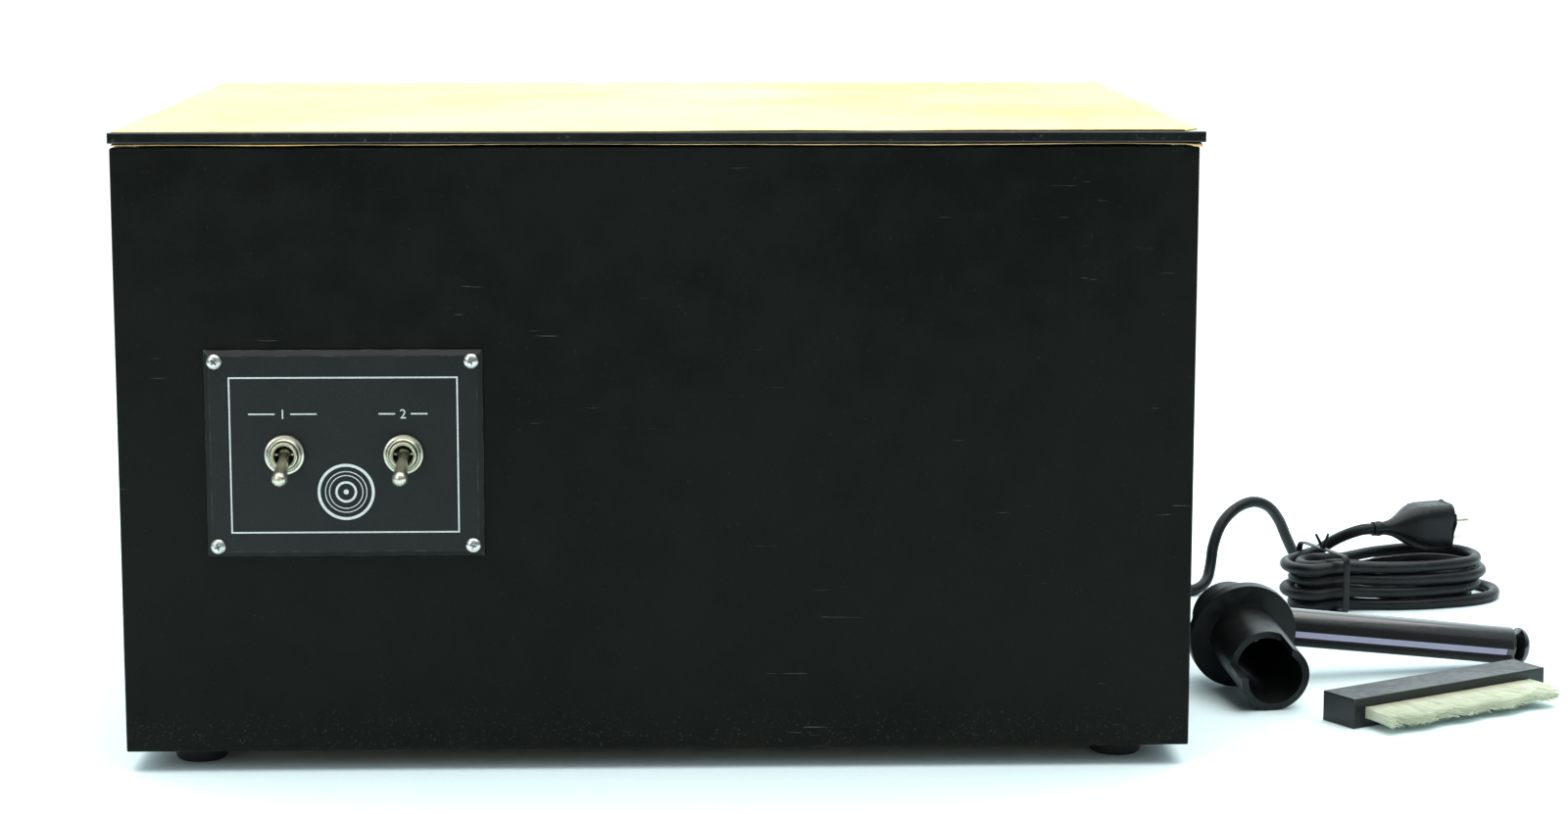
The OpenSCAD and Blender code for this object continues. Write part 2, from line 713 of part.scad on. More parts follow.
module hinge_case_leaves() {
    color([0.72, 0.72, 0.7]) for (h = hinge_places) difference() {
        translate([h[0], cab_d / 2, hinge_z]) union() {
            translate([-hinge_len / 2, 0, -leaf_case])
                cube([hinge_len, leaf_t, leaf_case - knuckle_r - leaf_clear]);
            for (i = [0:2:knuckles - 1]) translate([knuckle_from(i), 0, 0]) {
                translate([0, hinge_y - cab_d / 2, 0]) rotate([0, 90, 0])
                    cylinder(h = knuckle_len, r = knuckle_r);
                translate([0, 0, -knuckle_r - 1]) cube([knuckle_len, leaf_t, knuckle_r + 1]);
            }
        }
        translate([h[0] - hinge_len / 2 - past, hinge_y, hinge_z]) rotate([0, 90, 0])
            cylinder(h = hinge_len + 2 * past, r = pin_r + pin_gap);
        at_each(case_screw_places) translate([0, past, 0]) rotate([90, 0, 0])
            cylinder(h = leaf_t + 2 * past, r = leaf_screw_r + screw_gap);
    }
}

module hinge_pins() {
    color([0.8, 0.8, 0.78]) for (h = hinge_places) translate([h[0], hinge_y, hinge_z]) rotate([0, 90, 0]) {
        cylinder(h = hinge_len + pin_head_t, r = pin_r, center = true);
        for (side = [-1, 1]) translate([0, 0, side * (hinge_len / 2 + 0.1 + pin_head_t / 2)])
            cylinder(h = pin_head_t, r = pin_r + 0.6, center = true);
    }
}

module hinge_lid_screws() {
    color([0.75, 0.75, 0.73]) at_each(lid_screw_places) {
        translate([0, 0, -0.4]) cylinder(h = 0.4, r = leaf_screw_r * 1.8);
        cylinder(h = leaf_t + leaf_screw_depth - 0.3, r = leaf_screw_r);
    }
}

// Control panel and switches

module control_panel() {
    color([0.13, 0.14, 0.16]) difference() {
        translate([panel_mid, -cab_d / 2, panel_mid_z]) rotate([90, 0, 0]) hull() {
            translate([-panel_w / 2, -panel_h / 2, 0]) cube([panel_w, panel_h, 1]);
            translate([panel_bevel - panel_w / 2, panel_bevel - panel_h / 2, 0])
                cube([panel_w - 2 * panel_bevel, panel_h - 2 * panel_bevel, panel_t]);
        }
        at_each(switch_places) rotate([-90, 0, 0]) translate([0, 0, -past])
            cylinder(h = panel_t + 2 * past, r = bushing_r + 0.1);
        at_each(panel_screw_places) rotate([-90, 0, 0]) translate([0, 0, -past])
            cylinder(h = panel_t + 2 * past, r = screw_r + screw_gap);
    }
}

module panel_screws() {
    color([0.78, 0.78, 0.78]) at_each(panel_screw_places) rotate([90, 0, 0])
        screw(screw_head_r, screw_head_h, screw_r, panel_t + screw_len - past);
}

// The pivot of the lever is at the origin, in the plane of the panel's face
module toggle_switch() {
    difference() {
        union() {
            translate([0, -bushing_out, 0]) rotate([-90, 0, 0])
                cylinder(h = bushing_out + panel_t + switch_gap + 1, r = bushing_r);
            translate([-switch_box[0] / 2, panel_t + switch_gap, -switch_box[1] / 2]) cube([switch_box[0],
                switch_box[2], switch_box[1]]);
        }
        translate([0, -bushing_out - past, 0]) rotate([-90, 0, 0])
            cylinder(h = bushing_out + past + bushing_depth, r = bushing_bore);
        rotate([0, 90, 0])
            cylinder(h = 2 * bushing_r + 2 * past, r = lever_pin_r + lever_pin_gap, center = true);
    }
    for (x = [-1, 1]) translate([x * 4 - 0.5, panel_t + switch_gap + switch_box[2] - 0.5, -2])
        cube([1, 7, 4]);
}

module motor_switch() {
    color([0.2, 0.2, 0.2]) translate(switch_places[0]) toggle_switch();
}

module vacuum_switch() {
    color([0.2, 0.2, 0.2]) translate(switch_places[1]) toggle_switch();
}

// Bat-shaped lever, thin at its neck and round at its tip, pointing forwards and down. It turns on a pin
// that is held in the bushing's wall.
module lever() {
    rotate([0, 90, 0]) cylinder(h = bushing_r + bushing_bore, r = lever_pin_r, center = true);
    rotate([lever_angle, 0, 0]) rotate([90, 0, 0]) rotate_extrude() polygon(concat(
        [[0, -lever_neck_r - 1]],
        [for (p = arc(lever_neck_r + 1, -90, 40, 6)) p],
        [[lever_neck_r, lever_neck_r + 2], [lever_tip_r * 0.9, lever_len - lever_tip_r]],
        [for (p = arc(lever_tip_r, -10, 90, 6)) [0, lever_len] + p]));
}

module motor_switch_lever() {
    color([0.8, 0.78, 0.72]) translate(switch_places[0]) lever();
}

module vacuum_switch_lever() {
    color([0.8, 0.78, 0.72]) translate(switch_places[1]) lever();
}

module switch_nuts() {
    knurls = 30;
    color([0.8, 0.76, 0.68]) at_each(switch_places) rotate([90, 0, 0]) difference() {
        union() {
            linear_extrude(nut_t * 0.6) polygon([for (i = [0:2 * knurls - 1])
                (nut_r - 0.45 * (i % 2)) * [cos(180 * i / knurls), sin(180 * i / knurls)]]);
            cylinder(h = nut_t, r1 = nut_r - 0.5, r2 = nut_r - 2);
        }
        translate([0, 0, -past]) cylinder(h = nut_t + 2 * past, r = bushing_r + 0.05);
    }
}

// Turntable

module platter() {
    color([0.1, 0.1, 0.1]) translate([-spindle_left, 0, platter_z]) difference() {
        cylinder(h = platter_t, r = platter_r);
        translate([0, 0, -past]) cylinder(h = platter_t + 2 * past, r = spindle_r + record_fit);
    }
}

module platter_mat() {
    color([0.62, 0.45, 0.28]) translate([-spindle_left, 0, mat_z])
        ring(platter_r - 2, spindle_r + record_fit, mat_t);
}

module drive_shaft() {
    color([0.75, 0.75, 0.76]) translate([-spindle_left, 0, 0]) {
        translate([0, 0, low_plate_z]) cylinder(h = platter_z - low_plate_z, r = shaft_r);
        translate([0, 0, platter_z - hub_t]) cylinder(h = hub_t, r = hub_r);
        translate([0, 0, platter_z - past]) cylinder(h = clamp_z + clamp_h - platter_z + past, r = spindle_r);
        translate([0, 0, clamp_z + clamp_h]) cylinder(h = 3, r1 = spindle_r, r2 = 1.5);
    }
}

module shaft_bearing() {
    color([0.72, 0.6, 0.38]) translate([-spindle_left, 0, deck_under]) difference() {
        union() {
            cylinder(h = deck_t, r = bush_r);
            translate([0, 0, deck_t]) cylinder(h = bush_flange_t, r = bush_r + 6);
        }
        translate([0, 0, -past]) cylinder(h = deck_t + bush_flange_t + 2 * past, r = shaft_r + shaft_gap);
    }
}

module record_clamp() {
    grips = 12;
    color([0.07, 0.07, 0.07]) translate([-spindle_left, 0, clamp_z + 0.1]) difference() {
        union() {
            cylinder(h = 6, r = clamp_r);
            cylinder(h = clamp_h, r = clamp_r * 0.6);
        }
        translate([0, 0, -past]) cylinder(h = clamp_h + 2 * past, r = spindle_r + record_fit);
        for (i = [0:grips - 1]) rotate(360 * i / grips) translate([clamp_r * 0.6 + 1, 0, 9])
            cylinder(h = clamp_h, r = 2.5);
    }
}

// Gears

pressure = 20;
function roll_angle(r, rb) = r <= rb ? 0 : acos(rb / r);
function involute(r, rb) = let (a = roll_angle(r, rb)) tan(a) * 180 / PI - a;
// Half of the angle that a tooth takes up at a radius
function half_tooth(r, rp, rb) = 90 * (PI * gear_m / 2 - backlash) / (PI * rp)
    + involute(rp, rb) - involute(r, rb);

module gear(teeth, addendum, h) {
    rp = gear_m * teeth / 2;
    rb = rp * cos(pressure);
    root = rp - 1.25 * gear_m;
    tip = rp + addendum * gear_m;
    levels = [root, max(rb, rp - 0.4 * gear_m), tip];
    linear_extrude(h) polygon([for (k = [0:teeth - 1]) each concat(
        [for (r = levels) let (a = 360 * k / teeth - half_tooth(r, rp, rb)) r * [cos(a), sin(a)]],
        [for (j = [len(levels) - 1:-1:0]) let (r = levels[j], a = 360 * k / teeth
            + half_tooth(r, rp, rb)) r * [cos(a), sin(a)]])]);
}

wheel_addendum = 0.7;
pinion_addendum = 0.95;

module shaft_gear() {
    color([0.85, 0.85, 0.8]) translate([-spindle_left, 0, shaft_gear_z]) difference() {
        union() {
            rotate(90) gear(shaft_teeth, wheel_addendum, gear_w);
            translate([0, 0, gear_w]) cylinder(h = 4, r = shaft_r + 4);
        }
        translate([0, 0, -past]) cylinder(h = gear_w + 4 + 2 * past, r = shaft_r + 0.02);
    }
}

module idler_gear() {
    color([0.85, 0.85, 0.8]) translate([idler_at[0], idler_at[1], idler_z]) difference() {
        union() {
            rotate(motor_bearing) gear(idler_teeth, wheel_addendum, gear_w);
            translate([0, 0, gear_w - 0.5]) rotate(270 + 180 / pinion_teeth)
                gear(pinion_teeth, pinion_addendum, gear_rise + gear_w + 1);
        }
        translate([0, 0, -past]) cylinder(h = 2 * gear_w + gear_rise + 1 + 2 * past, r = idler_r + shaft_gap);
    }
}

// Pinion, shaft and rotor of the motor
module motor_pinion() {
    color([0.78, 0.66, 0.4]) translate([motor_at[0], motor_at[1], 0]) {
        translate([0, 0, idler_z - 1]) rotate(motor_bearing + 180 + 180 / pinion_teeth)
            gear(pinion_teeth, pinion_addendum, gear_w + 2);
        translate([0, 0, rotor_z]) cylinder(h = idler_z - rotor_z, r = motor_shaft_r);
        translate([0, 0, rotor_z]) cylinder(h = rotor_h, r = rotor_r);
    }
}

shaft_gear_tip = gear_m * (shaft_teeth / 2 + wheel_addendum);
idler_gear_tip = gear_m * (idler_teeth / 2 + wheel_addendum);
post_x = [-spindle_left - max(shaft_gear_tip, idler_gear_tip) - post_r - 1,
    motor_at[0] + motor_r + post_r + 2];
post_y = [-20, idler_at[1] + 14];
frame_edge = post_r + 2;

module frame_plate(z) {
    translate([post_x[0] - frame_edge, post_y[0] - frame_edge, z])
        cube([post_x[1] - post_x[0] + 2 * frame_edge, post_y[1] - post_y[0] + 2 * frame_edge, plate_t]);
}

// The posts stand at the corners, and the two plates hold the shafts
module gear_frame() {
    color([0.7, 0.7, 0.68]) difference() {
        union() {
            frame_plate(low_plate_z);
            frame_plate(top_plate_z);
            for (x = post_x, y = post_y) translate([x, y, low_plate_z])
                cylinder(h = deck_under - low_plate_z, r = post_r);
            translate([idler_at[0], idler_at[1], low_plate_z])
                cylinder(h = top_plate_z - low_plate_z, r = idler_r);
        }
        translate([-spindle_left, 0, low_plate_z - past])
            cylinder(h = top_plate_z - low_plate_z + plate_t + 2 * past, r = shaft_r + shaft_gap);
        translate([motor_at[0], motor_at[1], low_plate_z - past])
            cylinder(h = plate_t + 2 * past, r = motor_shaft_r + shaft_gap);
    }
}

module platter_motor() {
    boss_r = 8;
    boss_h = 5;
    color([0.5, 0.5, 0.5]) translate([motor_at[0], motor_at[1], low_plate_z - motor_h]) difference() {
        union() {
            cylinder(h = motor_h, r = motor_r);
            translate([0, 0, -boss_h]) cylinder(h = boss_h + past, r = boss_r);
        }
        translate([0, 0, motor_wall])
            cylinder(h = motor_h - motor_wall - motor_cap, r = motor_r - motor_wall);
        translate([0, 0, motor_h - motor_cap - past])
            cylinder(h = motor_cap + 2 * past, r = motor_shaft_r + shaft_gap);
    }
}

// Suction socket and tank

module tube_socket() {
    color([0.1, 0.1, 0.1]) translate([socket_x, socket_y, deck_top - socket_h]) difference() {
        union() {
            cylinder(h = socket_h, r = socket_r);
            translate([0, 0, socket_h]) cylinder(h = 3, r = socket_r + 7);
        }
        translate([0, 0, -past]) cylinder(h = socket_h + 3 + 2 * past, r = pipe_r + pipe_gap);
    }
}

module socket_hose() {
    color([0.08, 0.08, 0.08]) translate([socket_x, socket_y, tank_top + tank_lid_t])
        ring(socket_r + hose_wall, socket_r, deck_top - socket_h + 12 - tank_top - tank_lid_t);
}

module waste_tank() {
    color([0.85, 0.87, 0.88]) difference() {
        union() {
            translate([tank_mid[0] - tank_size[0] / 2, tank_mid[1] - tank_size[1] / 2, floor_z])
                cube(tank_size);
            translate([drain_x, tank_mid[1] + tank_size[1] / 2 - past, drain_z]) rotate([-90, 0, 0])
                cylinder(h = cab_d / 2 + drain_out - tank_mid[1] - tank_size[1] / 2 + past, r = drain_r);
        }
        translate([tank_mid[0] - tank_size[0] / 2 + tank_wall, tank_mid[1] - tank_size[1] / 2 + tank_wall,
            floor_z + tank_wall]) cube([tank_size[0] - 2 * tank_wall, tank_size[1] - 2 * tank_wall,
            tank_size[2]]);
        translate([drain_x, tank_mid[1] + tank_size[1] / 2 - tank_wall - past, drain_z])
            rotate([-90, 0, 0]) cylinder(h = in_d + drain_out, r = drain_r - 2);
    }
}

module tank_lid() {
    color([0.8, 0.82, 0.84]) difference() {
        union() {
            translate([tank_mid[0] - tank_size[0] / 2, tank_mid[1] - tank_size[1] / 2, tank_top])
                cube([tank_size[0], tank_size[1], tank_lid_t]);
            translate([socket_x, socket_y, tank_top]) cylinder(h = tank_lid_t + spigot_h, r = socket_r);
            translate([hose_x, vac_y, tank_top]) cylinder(h = tank_lid_t + spigot_h, r = duct_r);
        }
        translate([socket_x, socket_y, tank_top - past])
            cylinder(h = tank_lid_t + spigot_h + 2 * past, r = pipe_r);
        translate([hose_x, vac_y, tank_top - past])
            cylinder(h = tank_lid_t + spigot_h + 2 * past, r = duct_r - 2);
    }
}

// Quarter bend of a hose, in the plane of X and Z
module hose_elbow(turned) {
    rotate([90, turned, 0]) rotate_extrude(angle = 90) translate([hose_bend, 0]) difference() {
        circle(r = hose_r);
        circle(r = duct_r);
    }
}

module vacuum_hose() {
    color([0.08, 0.08, 0.08]) translate([0, vac_y, 0]) {
        translate([-vac_left, 0, fan_top]) ring(hose_r, duct_r, hose_z - hose_bend - fan_top);
        translate([hose_bend - vac_left, 0, hose_z - hose_bend]) hose_elbow(-90);
        translate([hose_bend - vac_left, 0, hose_z]) rotate([0, 90, 0])
            ring(hose_r, duct_r, hose_x + vac_left - 2 * hose_bend);
        translate([hose_x - hose_bend, 0, hose_z - hose_bend]) hose_elbow(0);
        translate([hose_x, 0, tank_top + tank_lid_t])
            ring(hose_r, duct_r, hose_z - hose_bend - tank_top - tank_lid_t);
    }
}

// Vacuum

module vacuum_motor() {
    color([0.55, 0.56, 0.58]) translate([-vac_left, vac_y, 0]) difference() {
        union() {
            translate([0, 0, vac_base]) cylinder(h = vac_motor_h + past, r = vac_motor_r);
            translate([0, 0, fan_z]) cylinder(h = fan_h, r = fan_r);
            translate([0, 0, fan_top - past]) cylinder(h = spigot_h + past, r = duct_r);
            translate([0, 0, vent_z]) rotate([-90, 0, 0])
                cylinder(h = cab_d / 2 - vac_y, r = vent_r);
            for (a = [45:90:315]) rotate(a) translate([vac_motor_r - 8, -5, floor_z])
                cube([14, 10, fan_z - floor_z + past]);
        }
        translate([0, 0, fan_z + fan_wall]) cylinder(h = fan_h - 2 * fan_wall, r = fan_r - fan_wall);
        translate([0, 0, fan_top - fan_wall - past])
            cylinder(h = spigot_h + fan_wall + 2 * past, r = duct_r - 2);
        translate([0, fan_r - fan_wall - 4, vent_z]) rotate([-90, 0, 0])
            cylinder(h = cab_d / 2 - vac_y, r = vent_r - 3);
        translate([0, 0, fan_z - fan_bore_below])
            cylinder(h = fan_bore_below + fan_wall + past, r = fan_shaft_r + shaft_gap);
    }
}

module vacuum_fan() {
    hub_z = fan_z + fan_wall + fan_lift;
    color([0.8, 0.8, 0.8]) translate([-vac_left, vac_y, 0]) {
        translate([0, 0, fan_z - fan_shaft_below])
            cylinder(h = fan_shaft_below + fan_wall + fan_lift + past, r = fan_shaft_r);
        translate([0, 0, hub_z]) cylinder(h = fan_disc_t, r = impeller_r);
        translate([0, 0, hub_z]) cylinder(h = fan_hub_h, r = fan_hub_r);
        for (i = [0:fan_blades - 1]) rotate(360 * i / fan_blades)
            translate([blade_from, -blade_t / 2, hub_z + fan_disc_t / 2])
                cube([impeller_r - blade_margin - blade_from, blade_t, blade_h + fan_disc_t / 2]);
    }
}

module drain_cap() {
    color([0.1, 0.1, 0.1]) translate([drain_x, cab_d / 2 + 4, drain_z]) rotate([-90, 0, 0]) difference() {
        cylinder(h = drain_out, r = drain_r + 3);
        translate([0, 0, -past]) cylinder(h = drain_out - 4 + past, r = drain_r + 0.1);
    }
}

// Wiring

module terminal_block() {
    color([0.85, 0.84, 0.78]) translate([relief_x - block_size[0] / 2, block_y, floor_z]) difference() {
        cube(block_size);
        for (y = block_holes) translate([block_size[0] / 2, y, block_size[2] / 2])
            cylinder(h = block_size[2], r = wire_r + 0.2);
    }
}

module wire_run(points) {
    for (i = [0:len(points) - 2]) {
        a = points[i];
        b = points[i + 1];
        v = b - a;
        translate(a) rotate([0, acos(v[2] / norm(v)), atan2(v[1], v[0])]) cylinder(h = norm(v), r = wire_r);
        if (i > 0) translate(a) sphere(r = wire_r);
    }
}

module wiring() {
    wall_x = in_w / 2 - 5;
    front_y = 6 - in_d / 2;
    loom_z = floor_z + 6;
    block_side = relief_x + block_size[0] / 2;
    hole_y = block_y + block_holes[1];
    wire_end = switch_z - switch_box[1] / 2;
    color([0.15, 0.15, 0.16]) {
        wire_run([[relief_x, in_d / 2, relief_z], [relief_x, hole_y, relief_z],
            [relief_x, hole_y, floor_z + block_size[2] / 2 + 1]]);
        wire_run([[block_side, hole_y, loom_z], [wall_x, hole_y, loom_z], [wall_x, front_y, loom_z],
            [vacuum_switch_x, front_y, loom_z], [vacuum_switch_x, front_y, wire_end]]);
        wire_run([[vacuum_switch_x, front_y, loom_z], [motor_switch_x, front_y, loom_z],
            [motor_switch_x, front_y, wire_end]]);
    }
}

// Mains cord

module strain_relief() {
    grip = cord_d;
    color([0.07, 0.07, 0.07]) translate([relief_x, cab_d / 2, relief_z]) rotate([-90, 0, 0]) {
        translate([0, 0, -wall_t]) cylinder(h = wall_t, r = grip);
        cylinder(h = 4, r = grip + 2.5);
        translate([0, 0, 4]) cylinder(h = relief_len - 4, r1 = grip - 0.5, r2 = cord_r + 0.8);
    }
}

function hank_radius(t) = hank_in + hank_step * abs((t % 3) - 1.5);
function hank_height(t) = cord_r + hank_layer * (smooth((t - 1.5) / (2 * hank_climb) + 0.5)
    + smooth((t - 3) / (2 * hank_climb) + 0.5) + smooth((t - 4.5) / (2 * hank_climb) + 0.5));
// One loop: half a rear run, the right fold, the front run, the left fold and the rear run's other half
function loop_point(u, r) =
    u < 0.1 ? [hank_run * u / 0.1, r]
    : u < 0.4 ? let (a = 90 - 600 * (u - 0.1)) [hank_run + r * cos(a), r * sin(a)]
    : u < 0.6 ? [hank_run - 10 * hank_run * (u - 0.4), -r]
    : u < 0.9 ? let (a = -90 - 600 * (u - 0.6)) [r * cos(a) - hank_run, r * sin(a)]
    : [10 * hank_run * (u - 1), r];
// The first right fold reaches further out, the tie draws the runs in, and every layer lies over the tie
function hank_place(t) = let (r = hank_radius(t), q = loop_point(t % 1, r),
    p = t < 0.7 && q[0] > 0 ? [q[0] * (1 + hank_reach / (hank_run + r)), q[1]] : q,
    drawn = hank_draw * bell((p[0] - draw_x) / draw_w), y = p[1] * (1 - drawn / r))
    [hank_mid[0] + p[0] * cos(hank_turned) - y * sin(hank_turned),
        hank_mid[1] + p[0] * sin(hank_turned) + y * cos(hank_turned),
        hank_height(t) + tie_lift * bell((p[0] - tie_x) / tie_lift_w)];
function hank_bare() = [for (i = [0:floor((hank_turns - hank_from) * hank_rings)])
    hank_place(hank_from + i / hank_rings)];
// The ends run straight for a diameter
function with_straight_ends(p) = let (n = len(p) - 1) concat(
    [p[0] - cord_d * unit(p[1] - p[0])], p, [p[n] + cord_d * unit(p[n] - p[n - 1])]);
hank_path = with_straight_ends(hank_bare());
hank_start = hank_path[0];
hank_end = hank_path[len(hank_path) - 1];
hank_out = unit(hank_end - hank_path[len(hank_path) - 2]);

module power_cord_hank() {
    fine = curve_through(hank_path, 3);
    apart = 3 * round(3 * cord_d * 24 / 280) + 9;
    least = min([for (i = [0:len(fine) - 1], j = [i + apart:1:len(fine) - 1]) norm(fine[i] - fine[j])]);
    echo("least gap of the hank to itself", least - cord_d);
    color([0.07, 0.07, 0.07]) tube(hank_path, cord_r, hank_sides);
}

hank_in_way = unit(hank_path[1] - hank_path[0]);
lead_path = concat(curve_through(concat(lead_route, [hank_start - cord_d * hank_in_way]), lead_steps),
    [hank_start]);
plug_way = [cos(plug_turn), sin(plug_turn), 0];
neck_len = 8;
neck_start = [neck_at[0], neck_at[1], hank_height(hank_turns) + cord_r + 0.3 + plug_w / 2];
plug_at = neck_start + neck_len * plug_way;
tail_path = concat([hank_end, hank_end + cord_d * hank_out],
    curve_through(concat(tail_route, [neck_start - cord_d * plug_way]), lead_steps),
    [neck_start]);

module power_cord_lead() {
    color([0.07, 0.07, 0.07]) tube(lead_path, cord_r, lead_sides);
}

module power_cord_tail() {
    color([0.07, 0.07, 0.07]) tube(tail_path, cord_r, lead_sides);
}

module plug_body() {
    color([0.06, 0.06, 0.06]) translate(plug_at) rotate([0, 0, plug_turn]) union() {
        hull() {
            rotate([0, 90, 0]) cylinder(h = 1, r = 6, $fn = 24);
            translate([plug_len - 12, 0, 0]) rotate([0, 90, 0]) cylinder(h = 12, r = plug_w / 2, $fn = 32);
            translate([plug_len - 2, 0, 0]) cube([4, plug_w * 0.8, plug_w * 0.8], center = true);
        }
        translate([-neck_len, 0, 0]) rotate([0, 90, 0])
            cylinder(h = neck_len + past, r1 = cord_r + 0.8, r2 = 5);
    }
}

module plug_blades() {
    blade_pitch = 12.7;
    color([0.85, 0.8, 0.6]) translate(plug_at) rotate([0, 0, plug_turn]) {
        for (z = [-1, 1]) translate([plug_len, -3.15 - 3, z * blade_pitch / 2 - 0.75]) cube([16, 6.3, 1.5]);
        translate([plug_len, 6.5, 0]) rotate([0, 90, 0]) cylinder(h = 18, r = 2.4);
    }
}

// A strap round the hank, with its two ends twisted together on top
module cord_tie() {
    drawn = hank_draw * bell((tie_x - draw_x) / draw_w);
    reach = hank_in + 1.5 * hank_step - drawn + cord_r + tie_room;
    inner_h = hank_height(hank_turns) + cord_d + 1;
    corner_r = 4;
    end_r = 1.2;
    end_len = 9;
    color([0.05, 0.05, 0.05]) translate([hank_mid[0], hank_mid[1], 0]) rotate(hank_turned)
        translate([tie_x, 0, 0]) {
            rotate([90, 0, 90]) linear_extrude(tie_w, center = true)
                translate([0, inner_h / 2 + tie_t]) difference() {
                    rounded_outline([2 * (reach + tie_t), inner_h + 2 * tie_t], corner_r + tie_t);
                    rounded_outline([2 * reach, inner_h], corner_r);
                }
            for (lean = [-20, 12]) translate([0, 0, inner_h + 1.5 * tie_t]) rotate([lean, lean, 0])
                cylinder(h = end_len, r1 = end_r, r2 = end_r / 2);
        }
}

// Suction tube: in its own frame the pipe points down, the arm along +X and the flange is level

module lay_suction_tube() {
    translate([wand_at[0], wand_at[1], wand_z]) rotate([0, 0, wand_turn]) rotate([wand_tilt - 90, 0, 0])
        rotate([0, 0, arm_roll]) children();
}

module along_arm() {
    translate([0, 0, arm_back]) rotate([0, 90, 0]) children();
}

module suction_pipe() {
    bore = pipe_r - pipe_wall;
    color([0.08, 0.08, 0.085]) lay_suction_tube() difference() {
        union() {
            translate([0, 0, -pipe_len]) cylinder(h = pipe_len + head_len, r = pipe_r);
            translate([0, 0, -flange_t / 2]) cylinder(h = flange_t, r = flange_r);
        }
        translate([0, 0, -pipe_len - past]) cylinder(h = pipe_len + head_len - pipe_wall + past, r = bore);
        along_arm() cylinder(h = flange_r, r = arm_r + 0.05);
        rotate(-arm_roll) translate([-2 * pipe_r, -2 * pipe_r, -pipe_len - past])
            cube([2 * pipe_r + notch_side, 2 * pipe_r, notch_len + past]);
    }
}

module arm_section(r_out, r_in, from, to) {
    along_arm() translate([0, 0, from]) ring(r_out, r_in, to - from);
}

module suction_arm() {
    color([0.05, 0.05, 0.055]) lay_suction_tube() difference() {
        arm_section(arm_r, arm_r - arm_wall, pipe_r - pipe_wall, arm_len - cap_len);
        translate([slot_from, -slot_w / 2, arm_back - arm_r - past])
            cube([slot_to - slot_from, slot_w, arm_r]);
    }
}

module arm_cap() {
    color([0.05, 0.05, 0.055]) lay_suction_tube() along_arm() {
        translate([0, 0, arm_len - cap_len]) rotate_extrude() polygon(concat([[0, 0]],
            [for (p = arc(cap_round, 0, 60, 4)) [arm_r - cap_round, cap_len - cap_round] + p],
            [for (s = [0.6, 0.3, 0]) [s * (arm_r - cap_round), cap_len]]));
        translate([0, 0, arm_len - cap_len - 3]) cylinder(h = 4, r = arm_r - arm_wall);
    }
}

// Two strips on the underside of the arm, one on either side of the slot
module suction_lips() {
    reach = arm_r + lip_t;
    color([0.02, 0.02, 0.02]) lay_suction_tube() for (side = [-1, 1]) intersection() {
        arm_section(reach, arm_r, slot_from - 6, slot_to + 3);
        translate([slot_from - 6, side > 0 ? slot_w / 2 + 0.4 : -slot_w / 2 - 0.4 - lip_w,
            arm_back - reach - past]) cube([slot_to - slot_from + 9, lip_w, reach]);
    }
}

// Brush, lying on its side with its bristles towards the front

module lay_brush() {
    translate([brush_at[0], brush_at[1], 0]) rotate([0, 0, brush_turn]) children();
}

bristle_w = brush_len - bristle_left - bristle_right;
bristle_low = (brush_h - bristle_h) / 2;
backing_t = 2;
bristle_sag = 0.4;

module brush_block() {
    color([0.1, 0.1, 0.1]) lay_brush() difference() {
        translate([brush_len / 2, brush_w / 2, brush_h / 2]) rounded_box([brush_len, brush_w, brush_h], 0.6);
        translate([bristle_left, -past, bristle_low])
            cube([bristle_w, backing_t + past, bristle_h]);
    }
}

// Every bristle grows from half of a cell of the backing's front face. Its middle and its tip move by
// amounts that change steadily across the field, so that no two cross.
function bristle_shift(fx, fz, s) = [
    bristle_flare * (2 * fx - 0.8) * s * s,
    -bristle_len * s * (1 - 0.06 * sin(fx * 1440)),
    (fz - 1) * 0.4 * s - bristle_sag * s * s];

